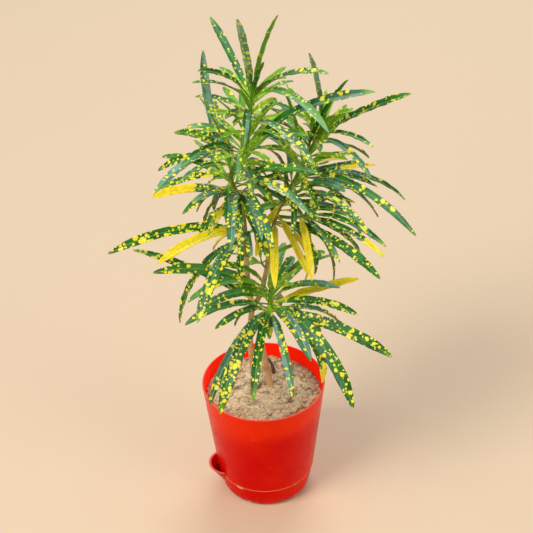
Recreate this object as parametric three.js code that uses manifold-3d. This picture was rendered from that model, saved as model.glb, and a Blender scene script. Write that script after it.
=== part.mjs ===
// A croton with narrow spotted leaves, in a red self-watering pot with a filling cup.
// Millimetres, +Z up, -Y towards the viewer. The origin is the centre of the pot's base, on the floor.

import * as THREE from "three";
import { mergeVertices } from "three/addons/utils/BufferGeometryUtils.js";
import Module from "manifold-3d";

const wasm = await Module();
wasm.setup();

// Pot and tray. Points of a profile are [radius, height].
const RIM_RADIUS = 65;
const POT_HEIGHT = 138;
const POT_WALL = 1.6;
const RIM_LIP = [[64.8, 137], [64.6, 137.8], [64.2, 138], [63.7, 137.8]];
const SEAM_HEIGHT = 27;
const SEAM_RADIUS = 52;
const SHOULDER_HEIGHT = 33;
const SHOULDER_INSET = 2;
const TRAY_HEEL_RADIUS = 47.8;
const TRAY_HEEL_HEIGHT = 8;
const TRAY_FOOT = [[0, 0], [40, 0], [44, 1.3], [46.6, 4], [TRAY_HEEL_RADIUS, TRAY_HEEL_HEIGHT]];
const TRAY_FLOOR = [[0, 2.4], [41, 2.4], [45.2, 5]];
const FLOOR_HEIGHT = 16;
const FLOOR_THICKNESS = 2;
const WELL_RADIUS = 15;
const WELL_TAPER = 1;
const WELL_BOTTOM = 4.4;
const WELL_SLOTS = 4;
const SLOT = { length: 8, width: 3, height: 6, middle: 10 };
const DRAIN_COUNT = 6;
const DRAIN_CIRCLE = 32;
const DRAIN_RADIUS = 2;
const POT_SIDES = 40;
const GAP = 0.3;
const SPIGOT_GAP = 0.5;
const SOIL_GAP = 0.5;
const CUT_PAST = 1;

// Filling cup on the tray: a scoop that narrows downwards into the tray's wall
const CUP_FACING = 195;
const CUP_TOP = { height: 34.5, distance: 43.5, radius: 20 };
const CUP_FOOT = { height: 12, distance: 36, radius: 13 };
const CUP_SIDES = 28;

// Soil
const SOIL_HEIGHT = 122;
const SOIL_SEED = 41;
const CLOD_COUNT = 70;
const CLOD = { radius: 5.5, radiusSpread: 2.5, height: 2.4, heightSpread: 1.6, rimInset: 8 };
const SOIL_RINGS = 9;
const SOIL_SIDES = 30;
const STEM_HOLE_GAP = 0.3;
const HOLE_FOOT_GAP = 0.4;
const HOLE_SIDES = 8;

// Leaves
const GOLDEN_ANGLE = 137.5;
const LEAF_SEED = 7;
const SEED_STEP = 101;
const SPINE_STEPS = 24;
const BLADE_THICKNESS = 0.8;
const STALK_THICKNESS = 1.8;
const STALK_SHARE = 0.18;
const STALK_END = 0.06;
const OPENING_OUT = 0.3;
const TIP_SHARE = 0.2;
const TIP_BLUNTNESS = 0.5;
const YOUTH_CURVE = 1.2;
const YOUNG_RISE = 60;
const STRETCHES = [1, 1.04, 0.96, 1.08, 0.92, 1.13, 0.87, 1.18, 1.24];
const RIB_BULGE = 1.15;
const EDGE_THINNING = 0.8;
const ROOT_SHARE = 0.3;
const FOLD = 24;
const TIP_HALF_WIDTH = 0.5;
const LONG_STATIONS = [0, 0.14, 0.4, 0.7, 0.92, 1];
const SHORT_STATIONS = [0, 0.16, 0.45, 0.84, 1];
const LONG_LEAF = 118;
const CROWDED_STEPS = 6;
const LEAF_CLEARANCE = 1.2;
const OWN_SHARE = 0.55;
const OWN_CLEARANCE = 1;
const LOWEST_LEAF = POT_HEIGHT + 4;
const ASIDE_STEP = 5;
const ASIDE_TRIES = 9;
const STEM_BEAD_STEP = 4;

// Stems: centre line from the foot up, and radius at the foot and at the top
const STEMS = {
  mainWood: {
    route: [[-8, 9, 78], [-9, 8, 125], [-11, 6, 160], [-13, 4, 195], [-10, 2, 232], [-13, 0, 268],
      [-14, 0, 300]],
    radius: [3.6, 2.7],
  },
  branchWood: {
    route: [[-10, 2, 230], [0, 3, 252], [7, 4, 284], [12, 6, 318]],
    radius: [2.6, 2.3],
  },
  secondWood: {
    route: [[7, 7, 78], [7, 7, 125], [2, 3, 165], [-1, -2, 196], [4, -5, 218]],
    radius: [3.4, 2.6],
  },
  leftGreen: {
    route: [[-14, 0, 300.4], [-14, -1, 328], [-17, -3, 366], [-26, -6, 396], [-18, -5, 414], [-9, -2, 433],
      [-6, 1, 458], [-3, 2, 484], [1, 2, 498]],
    radius: [2.6, 1.4],
  },
  rightGreen: {
    route: [[12, 6, 318.4], [18, 8, 345], [30, 11, 368], [44, 12, 398], [54, 14, 418], [64, 16, 442],
      [67, 17, 456]],
    radius: [2.3, 1.4],
  },
  rightFront: {
    route: [[18, 8, 341], [32, 1, 344], [44, -6, 350], [48, -9, 360]],
    radius: [1.8, 1.3],
  },
  rightMiddle: {
    route: [[30, 11, 366], [37, 3, 372], [42, -4, 380], [43, -5, 388]],
    radius: [1.8, 1.3],
  },
  lowGreen: {
    route: [[4, -5, 218.4], [8, -6, 238], [9, -6, 256], [11, -5, 270]],
    radius: [2.6, 1.4],
  },
  youngGreen: {
    route: [[5.4, 1.2, 284], [3, -3, 290], [1, -6, 298]],
    radius: [1.2, 0.9],
  },
  deadWood: {
    route: [[11, 31, 96], [11, 31, 124], [9, 35, 132], [5, 40, 136]],
    radius: [2.2, 1.5],
  },
};
const GREEN_STEMS = {
  left_leafy_stem: ["leftGreen"],
  right_leafy_stem: ["rightGreen", "rightFront", "rightMiddle"],
  low_leafy_stem: ["lowGreen"],
  young_shoot: ["youngGreen"],
};
const STEM_SIDES = 8;
const STEM_STEPS_PER_POINT = 2;

// Whorls of leaves, from the foot of a stem up. top and span are the stretch of stem that a whorl grows from.
// Each seen leaf is its tip in the viewer's picture, across and down, then width, length, rise and droop.
// The leaves on the far side follow the golden angle, turned by fan to each side of facing, and each of their
// ranges runs from the oldest leaf to the youngest.
const WHORLS = {
  left_leafy_stem: [
    {
      stem: "leftGreen", top: 346, span: 20, count: 3, facing: 80, fan: 60, turn: 60,
      rise: [-15, 15], length: [90, 70], droop: [50, 40], width: [10, 9],
      seen: [
        [108, 254, 10, 142, 22, 44], [197, 323, 12, 128, 10, 66], [158, 264, 11, 112, 16, 44],
        [180, 323, 10, 138, 4, 52], [213, 250, 8, 62, 6, 50], [251, 262, 7, 62, 10, 80],
      ],
    },
    {
      stem: "leftGreen", top: 400, span: 26, count: 6, facing: 90, fan: 75, turn: 20,
      rise: [-20, 40], length: [90, 62], droop: [55, 20], width: [9, 7],
      seen: [
        [152, 198, 10, 102, 10, 34], [205, 227, 9, 82, 5, 66], [231, 251, 10, 112, 12, 84],
        [192, 203, 9, 72, 4, 40], [273, 250, 10, 112, 12, 84], [318, 174, 8, 105, 34, 50],
        [235, 228, 8, 76, 14, 84], [262, 240, 9, 92, 6, 70], [190, 162, 10, 80, 24, 50],
        [309, 214, 8, 112, 34, 70], [162, 157, 7, 92, 34, 50], [213, 99, 11, 86, 56, 10],
        [200, 98, 6, 96, 62, 20], [203, 50, 9, 128, 64, -45],
      ],
    },
    {
      stem: "leftGreen", top: 436, span: 22, count: 5, facing: 90, fan: 75, turn: -60,
      rise: [-15, 40], length: [92, 60], droop: [46, 25], width: [9, 7],
      seen: [
        [158, 171, 8, 104, 8, 44], [153, 195, 9, 134, 20, 66], [181, 167, 8, 104, 22, 58],
        [174, 133, 9, 100, 24, 32], [285, 194, 8, 112, 24, 96], [186, 129, 8, 92, 40, 50],
        [308, 136, 8, 86, 34, 50], [375, 92, 11, 152, 40, 38], [218, 100, 6, 82, 56, 22],
        [279, 102, 6, 82, 58, 22],
      ],
    },
    {
      stem: "leftGreen", top: 480, span: 26, count: 6, facing: 90, fan: 75, turn: -48,
      rise: [-12, 48], length: [84, 48], droop: [60, 20], width: [8, 7],
      seen: [
        [315, 167, 10, 106, 12, 46], [244, 146, 8, 80, 20, 80], [329, 133, 8, 128, 50, 86],
        [225, 119, 8, 60, 18, 40], [192, 83, 7, 92, 42, 42], [272, 90, 8, 52, 52, 20],
        [329, 74, 9, 116, 50, 48], [198, 71, 7, 92, 50, 42], [286, 78, 9, 82, 54, 30],
        [278, 15, 7, 112, 72, 18], [264, 62, 8, 60, 76, 10], [210, 17, 8, 102, 50, 18],
        [237, 19, 9, 106, 74, 12],
      ],
    },
  ],
  right_leafy_stem: [
    {
      stem: "rightGreen", top: 346, span: 14, count: 2, facing: 90, fan: 50, turn: 60,
      rise: [-10, 10], length: [76, 66], droop: [50, 40], width: [9, 8],
      seen: [
        [334, 258, 13, 96, 4, 58], [380, 279, 11, 138, 14, 52], [275, 288, 9, 102, 0, 74],
        [302, 287, 8, 96, 2, 88],
      ],
    },
    {
      stem: "rightFront", top: 358, span: 12, count: 0, facing: 0, fan: 90, turn: 0,
      rise: [0, 20], length: [80, 70], droop: [50, 40], width: [9, 8],
      seen: [
        [333, 283, 7, 92, 0, 62], [312, 281, 8, 86, 4, 78], [384, 257, 8, 106, 14, 42],
        [386, 247, 8, 112, 16, 52], [340, 263, 6, 80, 6, 60], [362, 256, 8, 86, 8, 50],
        [333, 210, 6, 52, 26, 32], [342, 188, 8, 70, 28, 20],
      ],
    },
    {
      stem: "rightMiddle", top: 387, span: 9, count: 0, facing: 0, fan: 90, turn: 0,
      rise: [0, 20], length: [80, 70], droop: [50, 40], width: [9, 8],
      seen: [
        [371, 238, 8, 106, 12, 60], [361, 237, 8, 98, 6, 60], [345, 192, 10, 72, 24, 50],
      ],
    },
    {
      stem: "rightGreen", top: 400, span: 22, count: 4, facing: 90, fan: 75, turn: -52,
      rise: [-15, 36], length: [90, 60], droop: [46, 22], width: [9, 7],
      seen: [
        [378, 217, 11, 122, 14, 52], [375, 165, 7, 100, 12, 8], [416, 236, 8, 158, 24, 62],
        [364, 163, 7, 86, 16, 16], [405, 200, 8, 132, 22, 54], [377, 187, 7, 96, 16, 42],
        [348, 160, 6, 62, 26, 56], [329, 162, 6, 42, 26, 30], [348, 80, 8, 112, 48, 20],
        [280, 101, 6, 92, 60, 20], [283, 89, 6, 108, 50, 20],
      ],
    },
    {
      stem: "rightGreen", top: 440, span: 20, count: 4, facing: 90, fan: 75, turn: -32,
      rise: [-10, 40], length: [78, 46], droop: [44, 20], width: [8, 6.5],
      seen: [
        [327, 115, 8, 42, 64, 4], [371, 178, 7, 86, 18, 62], [320, 152, 8, 42, 4, 60],
        [373, 147, 7, 76, 24, 50], [296, 147, 7, 50, 22, 50], [411, 94, 11, 126, 26, 12],
        [321, 117, 6, 42, 54, 10], [353, 109, 6, 62, 58, 10], [309, 53, 7, 112, 68, 20],
      ],
    },
  ],
  low_leafy_stem: [
    {
      stem: "lowGreen", top: 260, span: 28, count: 6, facing: 90, fan: 80, turn: -44,
      rise: [-5, 40], length: [104, 70], droop: [60, 38], width: [12, 9],
      seen: [
        [220, 414, 14, 144, 14, 84], [353, 408, 14, 154, 26, 88], [392, 357, 14, 136, 8, 34],
        [253, 401, 10, 126, 12, 80], [210, 405, 10, 132, 4, 74], [293, 398, 9, 122, 6, 74],
        [133, 250, 10, 152, 6, 22], [322, 383, 11, 112, 22, 88], [311, 361, 11, 92, 14, 80],
        [187, 303, 8, 110, 50, 92], [153, 273, 11, 142, 34, 60], [358, 315, 10, 98, 24, 50],
        [359, 279, 11, 98, 26, 8], [203, 308, 10, 92, 32, 70], [215, 329, 8, 76, 14, 50],
        [215, 266, 10, 92, 44, 60], [340, 288, 8, 92, 34, 60], [235, 326, 7, 60, 4, 60],
        [325, 252, 11, 102, 38, 50], [274, 274, 9, 46, 56, 20],
      ],
    },
  ],
  young_shoot: [
    {
      stem: "youngGreen", top: 296, span: 5, count: 3, facing: 100, fan: 100, turn: -150,
      rise: [10, 60], length: [44, 30], droop: [40, 10], width: [6, 5],
      seen: [
        [240, 276, 7, 58, 14, 50],
      ],
    },
  ],
};
const SCATTER = { azimuth: 8, rise: 7, length: 0.12, droop: 0.2, sweep: 14, width: 0.12, roll: 18 };
const FACING_ROLL = 30;
const ROLLED_BY = 0.35;

// Where the viewer stands, how many degrees the view looks down and rolls over, and the picture's focal
// length and middle, in the units of across and down
const EYE = new THREE.Vector3(6.3, -1307.2, 1220.7);
const VIEW_RISE = 35.56;
const VIEW_ROLL = -1.48;
const VIEW_REACH = 1600;
const VIEW_MIDDLE = 266.5;

const radians = THREE.MathUtils.degToRad;
const degrees = THREE.MathUtils.radToDeg;
const mix = THREE.MathUtils.lerp;

function smooth(x) {
  const t = Math.min(1, Math.max(0, x));
  return t * t * (3 - 2 * t);
}

// The direction that lies azimuth degrees round from +X and rises by the given degrees.
function direction(azimuth, rise) {
  const level = Math.cos(radians(rise));
  const [x, y] = [level * Math.cos(radians(azimuth)), level * Math.sin(radians(azimuth))];
  return new THREE.Vector3(x, y, Math.sin(radians(rise)));
}

// A seeded draw, even over plus or minus the given amount.
function drawFrom(seed) {
  const multiplier = 16807;
  const modulus = 2147483647;
  let state = seed;
  return (amount) => {
    state = (state * multiplier) % modulus;
    return amount * ((2 * state) / modulus - 1);
  };
}

// Solids

function solidFrom(positions, triangles) {
  const mesh = new wasm.Mesh({
    numProp: 3,
    vertProperties: new Float32Array(positions.flat()),
    triVerts: new Uint32Array(triangles.flat()),
  });
  mesh.merge();
  return new wasm.Manifold(mesh);
}

function solidFromGeometry(geometry) {
  geometry.deleteAttribute("normal");
  geometry.deleteAttribute("uv");
  const merged = mergeVertices(geometry, 1e-4);
  return new wasm.Manifold(
    new wasm.Mesh({
      numProp: 3,
      vertProperties: merged.attributes.position.array,
      triVerts: new Uint32Array(merged.index.array),
    }),
  );
}

// A solid of revolution about Z from [radius, height] points that go round anticlockwise.
function turned(profile, sides) {
  const points = profile.map(([radius, height]) => new THREE.Vector2(radius, height));
  return solidFromGeometry(new THREE.LatheGeometry(points, sides).rotateX(Math.PI / 2));
}

// Joins equal rings of points in a closed skin. Quads after the bladeEdge-th side are split the other way, so
// that both faces of a thin blade are split alike.
function skin(rings, bladeEdge = Infinity) {
  const sides = rings[0].length;
  const triangles = [];
  for (let ring = 0; ring + 1 < rings.length; ring++) {
    for (let k = 0; k < sides; k++) {
      const a = ring * sides + k;
      const b = ring * sides + ((k + 1) % sides);
      const c = b + sides;
      const d = a + sides;
      if (k < bladeEdge) triangles.push([a, b, c], [a, c, d]);
      else triangles.push([a, b, d], [b, c, d]);
    }
  }
  const last = (rings.length - 1) * sides;
  for (let k = 1; k + 1 < sides; k++) {
    triangles.push([0, k + 1, k], [last, last + k, last + k + 1]);
  }
  return solidFrom(rings.flat(), triangles);
}

// Stems

function stemPoints(stem) {
  const { route, radius } = STEMS[stem];
  const points = route.map((point) => new THREE.Vector3(...point));
  const curve = new THREE.CatmullRomCurve3(points, false, "catmullrom", 0.5);
  const steps = (route.length - 1) * STEM_STEPS_PER_POINT;
  return Array.from({ length: steps + 1 }, (_, i) => ({
    at: curve.getPoint(i / steps),
    along: curve.getTangent(i / steps),
    radius: mix(radius[0], radius[1], i / steps),
  }));
}

function stemRings(stem, extra) {
  return stemPoints(stem).map(({ at, along, radius }) => {
    const across = new THREE.Vector3(0, 1, 0).cross(along).normalize();
    const up = along.clone().cross(across);
    return Array.from({ length: STEM_SIDES }, (_, k) => {
      const angle = (k / STEM_SIDES) * 2 * Math.PI;
      const point = at.clone();
      point.addScaledVector(across, Math.cos(angle) * (radius + extra));
      point.addScaledVector(up, Math.sin(angle) * (radius + extra));
      return point.toArray();
    });
  });
}

function stemSolid(stem, extra = 0) {
  return skin(stemRings(stem, extra));
}

// Where a leaf is rooted: inside the stem at a given height, on the side that the leaf grows to.
function rootIn(stem, height, azimuth) {
  const points = stemPoints(stem);
  const next = Math.max(1, points.findIndex(({ at }) => at.z >= height));
  const [low, high] = [points[next - 1], points[next]];
  const root = low.at.clone().lerp(high.at, (height - low.at.z) / (high.at.z - low.at.z));
  return root.addScaledVector(direction(azimuth, 0), low.radius * ROOT_SHARE);
}

// Leaves

// The direction in which the viewer sees a point of the picture.
function sightLine(across, down) {
  const ahead = new THREE.Vector3(0, Math.cos(radians(VIEW_RISE)), -Math.sin(radians(VIEW_RISE)));
  const level = new THREE.Vector3(1, 0, 0).applyAxisAngle(ahead, -radians(VIEW_ROLL));
  const upright = level.clone().cross(ahead);
  const line = ahead.multiplyScalar(VIEW_REACH);
  line.addScaledVector(level, across - VIEW_MIDDLE).addScaledVector(upright, VIEW_MIDDLE - down);
  return line.normalize();
}

// The ways to turn a leaf so that the viewer sees its tip in its place: nearer or further away, and a little
// longer or shorter. The first way rises most like the leaf. Its upper face rolls towards the viewer.
function seenLeaf(whorl, seen, roll) {
  const [across, down, width, length, rise, droop] = seen;
  const youth = Math.min(1, rise / YOUNG_RISE);
  const root = rootIn(whorl.stem, whorl.top - whorl.span * (1 - youth), 0);
  const line = sightLine(across, down);
  const middle = EYE.clone().addScaledVector(line, root.clone().sub(EYE).dot(line));
  const off = middle.distanceTo(root);
  const chordShare = Math.sin(radians(droop) / 2) / (radians(droop) / 2);
  return STRETCHES.flatMap((stretch) => {
    const chord = Math.max(off, length * stretch * chordShare);
    const reach = Math.sqrt(chord ** 2 - off ** 2);
    const ways = [-reach, reach].map((further) => {
      const step = middle.clone().addScaledVector(line, further).sub(root).divideScalar(chord);
      const azimuth = degrees(Math.atan2(step.y, step.x));
      return {
        root,
        azimuth,
        rise: degrees(Math.asin(step.z)) + droop / 2,
        length: chord / chordShare,
        droop,
        sweep: 0,
        width,
        roll: roll + FACING_ROLL * Math.cos(radians(azimuth)),
      };
    });
    return ways.sort((a, b) => Math.abs(a.rise - rise) - Math.abs(b.rise - rise));
  });
}

// Each leaf of a whorl, as the ways in which it may grow: its azimuth and rise at the root, its length, how
// far it droops and sweeps aside by the tip, its width, and how far it rolls over.
function whorlLeaves(whorl, draw) {
  const seen = whorl.seen.map((leaf) => seenLeaf(whorl, leaf, draw(SCATTER.roll)));
  const hidden = Array.from({ length: whorl.count }, (_, i) => {
    const youth = i / Math.max(1, whorl.count - 1);
    const bent = youth ** YOUTH_CURVE;
    const around = whorl.turn - whorl.facing + i * GOLDEN_ANGLE;
    const turn = THREE.MathUtils.euclideanModulo(around + 180, 360) - 180;
    const azimuth = whorl.facing + (whorl.fan * turn) / 180 + draw(SCATTER.azimuth);
    const leaf = {
      root: rootIn(whorl.stem, whorl.top - whorl.span * (1 - youth), azimuth),
      azimuth,
      rise: mix(...whorl.rise, bent) + draw(SCATTER.rise),
      length: mix(...whorl.length, bent) * (1 + draw(SCATTER.length)),
      droop: mix(...whorl.droop, youth) * (1 + draw(SCATTER.droop)),
      sweep: draw(SCATTER.sweep),
      width: mix(...whorl.width, youth) * (1 + draw(SCATTER.width)),
      roll: draw(SCATTER.roll),
    };
    return [leaf];
  });
  return [...seen, ...hidden];
}

// How far the stalk has opened out into the blade.
function openedAt(s) {
  return smooth((s - STALK_END) / OPENING_OUT);
}

function halfWidth(leaf, s) {
  const stalk = mix(STALK_SHARE, 1, openedAt(s));
  const tip = Math.min(1, (1 - s) / TIP_SHARE) ** TIP_BLUNTNESS;
  return Math.max(TIP_HALF_WIDTH, (leaf.width / 2) * stalk * tip);
}

function heading(leaf, s) {
  return direction(leaf.azimuth + leaf.sweep * s, leaf.rise - leaf.droop * s);
}

function spineOf(leaf) {
  const points = [leaf.root.clone()];
  for (let i = 0; i < SPINE_STEPS; i++) {
    const step = heading(leaf, (i + 0.5) / SPINE_STEPS).multiplyScalar(leaf.length / SPINE_STEPS);
    points.push(points[i].clone().add(step));
  }
  return points;
}

// The leaf as a chain of beads as wide as its blade, to tell how near it comes to other pieces.
function leafBeads(leaf) {
  return spineOf(leaf).map((at, i) => {
    const radius = halfWidth(leaf, i / SPINE_STEPS);
    return { at, radius, free: i >= CROWDED_STEPS };
  });
}

function stemBeads(stem) {
  const points = stemPoints(stem);
  const beads = [];
  for (let i = 0; i + 1 < points.length; i++) {
    const steps = Math.ceil(points[i].at.distanceTo(points[i + 1].at) / STEM_BEAD_STEP);
    for (let k = 0; k < steps; k++) {
      beads.push({ at: points[i].at.clone().lerp(points[i + 1].at, k / steps), radius: points[i].radius });
    }
  }
  return beads;
}

// Leaves of one stem may lie closer than leaves of two stems, and crowd together where they leave the stem.
function isClear(leaf, others, own) {
  return leafBeads(leaf).every(({ at, radius, free }) => {
    const awayFrom = (beads, share, clearance) =>
      beads.every((bead) => at.distanceTo(bead.at) > share * (radius + bead.radius) + clearance);
    const awayFromOwn = !free || awayFrom(own, OWN_SHARE, OWN_CLEARANCE);
    return at.z - radius > LOWEST_LEAF && awayFromOwn && awayFrom(others, 1, LEAF_CLEARANCE);
  });
}

// A leaf that would touch another grows in another of its ways, or a little aside or higher, or not at all.
function bentClear(ways, others, own) {
  const clear = ways.find((leaf) => isClear(leaf, others, own));
  if (clear) return clear;
  const [leaf] = ways;
  for (let k = 1; k <= ASIDE_TRIES; k++) {
    for (const [aside, up] of [[1, 0], [-1, 0], [0, 1], [1, 1], [-1, 1]]) {
      const moved = {
        ...leaf,
        azimuth: leaf.azimuth + aside * k * ASIDE_STEP,
        rise: leaf.rise + up * k * ASIDE_STEP,
      };
      if (isClear(moved, others, own)) return moved;
    }
  }
  return null;
}

function growPlant() {
  const leavesOf = {};
  const placed = [];
  let whorlNumber = 0;
  for (const [node, whorls] of Object.entries(WHORLS)) {
    const ownStems = GREEN_STEMS[node];
    const otherStems = Object.keys(STEMS).filter((stem) => !ownStems.includes(stem));
    const others = [...otherStems.flatMap(stemBeads), ...placed];
    const own = ownStems.flatMap(stemBeads);
    leavesOf[node] = [];
    for (const whorl of whorls) {
      whorlNumber += 1;
      const draw = drawFrom(LEAF_SEED + SEED_STEP * whorlNumber);
      for (const ways of whorlLeaves(whorl, draw)) {
        const leaf = bentClear(ways, others, own);
        if (!leaf) continue;
        leavesOf[node].push(leaf);
        own.push(...leafBeads(leaf).filter(({ free }) => free));
      }
    }
    placed.push(...leavesOf[node].flatMap(leafBeads));
  }
  return leavesOf;
}

// One leaf: a narrow strap folded along its midrib, on a short stalk that starts inside the stem.
function leafSolid(leaf) {
  const spine = spineOf(leaf);
  const stations = leaf.length > LONG_LEAF ? LONG_STATIONS : SHORT_STATIONS;
  const rings = stations.map((s) => {
    const place = s * SPINE_STEPS;
    const step = Math.min(SPINE_STEPS - 1, Math.floor(place));
    const at = spine[step].clone().lerp(spine[step + 1], place - step);
    const along = heading(leaf, s);
    const azimuth = radians(leaf.azimuth + leaf.sweep * s);
    const level = new THREE.Vector3(Math.sin(azimuth), -Math.cos(azimuth), 0);
    const side = level.applyAxisAngle(along, radians(leaf.roll * smooth(s / ROLLED_BY)));
    const face = side.clone().cross(along);
    const opened = openedAt(s);
    const fold = radians(FOLD * opened);
    const half = halfWidth(leaf, s);
    const thick = mix(STALK_THICKNESS, BLADE_THICKNESS, opened) / 2;
    const point = (out, up) => at.clone().addScaledVector(side, out).addScaledVector(face, up).toArray();
    const edgeOut = half * Math.cos(fold);
    const edgeUp = half * Math.sin(fold);
    const rib = mix(1, RIB_BULGE, opened) * thick;
    const edge = EDGE_THINNING * thick;
    return [
      point(-edgeOut, edgeUp + edge), point(0, rib), point(edgeOut, edgeUp + edge),
      point(edgeOut, edgeUp - edge), point(0, -rib), point(-edgeOut, edgeUp - edge),
    ];
  });
  return skin(rings, 3);
}

const leavesOf = growPlant();

function leafyStem(node) {
  const stems = GREEN_STEMS[node].map((stem) => stemSolid(stem));
  return wasm.Manifold.union([...stems, ...leavesOf[node].map(leafSolid)]);
}

// Pot

const floorTop = FLOOR_HEIGHT + FLOOR_THICKNESS;
const wallSlope = (RIM_RADIUS - SEAM_RADIUS) / (POT_HEIGHT - SEAM_HEIGHT);
const innerRadiusAt = (height) => SEAM_RADIUS - POT_WALL + wallSlope * (height - SEAM_HEIGHT);
const traySlope = (SEAM_RADIUS - GAP - TRAY_HEEL_RADIUS) / (SEAM_HEIGHT - GAP - TRAY_HEEL_HEIGHT);
const trayInnerRadiusAt = (height) => TRAY_HEEL_RADIUS - POT_WALL + traySlope * (height - TRAY_HEEL_HEIGHT);

function tubeHole(x, y, radius, low, high) {
  const hole = new THREE.CylinderGeometry(radius, radius, high - low, HOLE_SIDES).rotateX(Math.PI / 2);
  return solidFromGeometry(hole.translate(x, y, (low + high) / 2));
}

// The inside of the pot's wall from the shoulder down to its floor, a given distance clear of the wall.
function shoulderProfile(clear) {
  return [
    [innerRadiusAt(SHOULDER_HEIGHT) - clear, SHOULDER_HEIGHT],
    [innerRadiusAt(SEAM_HEIGHT) - SHOULDER_INSET - clear, SEAM_HEIGHT],
    [trayInnerRadiusAt(FLOOR_HEIGHT) - SHOULDER_INSET - clear, floorTop],
  ];
}

// The tapered pot, with a spigot that drops into the tray and a slotted foot well that dips in the water.
function potBody() {
  const body = turned(
    [
      [0, WELL_BOTTOM],
      [WELL_RADIUS - WELL_TAPER, WELL_BOTTOM],
      [WELL_RADIUS, FLOOR_HEIGHT],
      [trayInnerRadiusAt(FLOOR_HEIGHT) - SPIGOT_GAP, FLOOR_HEIGHT],
      [trayInnerRadiusAt(SEAM_HEIGHT) - SPIGOT_GAP, SEAM_HEIGHT],
      [SEAM_RADIUS, SEAM_HEIGHT],
      ...RIM_LIP,
      [innerRadiusAt(POT_HEIGHT), POT_HEIGHT - 1],
      ...shoulderProfile(0),
      [WELL_RADIUS - POT_WALL, floorTop],
      [WELL_RADIUS - WELL_TAPER - POT_WALL, WELL_BOTTOM + POT_WALL],
      [0, WELL_BOTTOM + POT_WALL],
    ],
    POT_SIDES,
  );
  const slots = Array.from({ length: WELL_SLOTS }, (_, k) => {
    const slot = new THREE.BoxGeometry(SLOT.length, SLOT.width, SLOT.height);
    slot.translate(WELL_RADIUS, 0, SLOT.middle).rotateZ((k / WELL_SLOTS) * 2 * Math.PI);
    return solidFromGeometry(slot);
  });
  const drains = Array.from({ length: DRAIN_COUNT }, (_, k) => {
    const angle = ((k + 0.5) / DRAIN_COUNT) * 2 * Math.PI;
    const [x, y] = [DRAIN_CIRCLE * Math.cos(angle), DRAIN_CIRCLE * Math.sin(angle)];
    return tubeHole(x, y, DRAIN_RADIUS, FLOOR_HEIGHT - CUT_PAST, floorTop + CUT_PAST);
  });
  return wasm.Manifold.difference([body, ...slots, ...drains]);
}

// A scoop between two level rings.
function cupScoop(inset, rise) {
  const rings = [CUP_FOOT, CUP_TOP].map(({ height, distance, radius }) => {
    const level = height === CUP_TOP.height ? height + rise : height + inset;
    return Array.from({ length: CUP_SIDES }, (_, k) => {
      const angle = (k / CUP_SIDES) * 2 * Math.PI;
      const facing = radians(CUP_FACING);
      return [
        distance * Math.cos(facing) + (radius - inset) * Math.cos(angle),
        distance * Math.sin(facing) + (radius - inset) * Math.sin(angle),
        level,
      ];
    });
  });
  return skin(rings);
}

// The water tray with its filling cup, cut to leave a gap round the pot that stands in it.
function baseTray() {
  const top = SEAM_HEIGHT - GAP;
  const outside = turned([...TRAY_FOOT, [SEAM_RADIUS - GAP, top], [0, top]], POT_SIDES);
  const inside = turned(
    [
      ...TRAY_FLOOR,
      [trayInnerRadiusAt(TRAY_HEEL_HEIGHT), TRAY_HEEL_HEIGHT],
      [trayInnerRadiusAt(top + CUT_PAST), top + CUT_PAST],
      [0, top + CUT_PAST],
    ],
    POT_SIDES,
  );
  const over = CUP_TOP.height + CUT_PAST;
  const potRoom = turned(
    [
      [0, top],
      [SEAM_RADIUS + GAP, top],
      [SEAM_RADIUS + GAP + wallSlope * (over - top), over],
      [0, over],
    ],
    POT_SIDES,
  );
  const walls = outside.add(cupScoop(0, 0));
  return wasm.Manifold.difference([walls, inside, cupScoop(POT_WALL, CUT_PAST), potRoom]);
}

// Soil

function clodHeight(clods, x, y) {
  return clods.reduce((height, clod) => {
    const away = ((x - clod.x) ** 2 + (y - clod.y) ** 2) / clod.radius ** 2;
    return away < 1 ? Math.max(height, clod.height * (1 - away)) : height;
  }, 0);
}

function scatterClods() {
  const draw = drawFrom(SOIL_SEED);
  return Array.from({ length: CLOD_COUNT }, () => {
    const angle = draw(180);
    const reach = (RIM_RADIUS - CLOD.rimInset) * Math.sqrt(Math.abs(draw(1)));
    return {
      x: reach * Math.cos(radians(angle)),
      y: reach * Math.sin(radians(angle)),
      radius: CLOD.radius + draw(CLOD.radiusSpread),
      height: CLOD.height + draw(CLOD.heightSpread),
    };
  });
}

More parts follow.
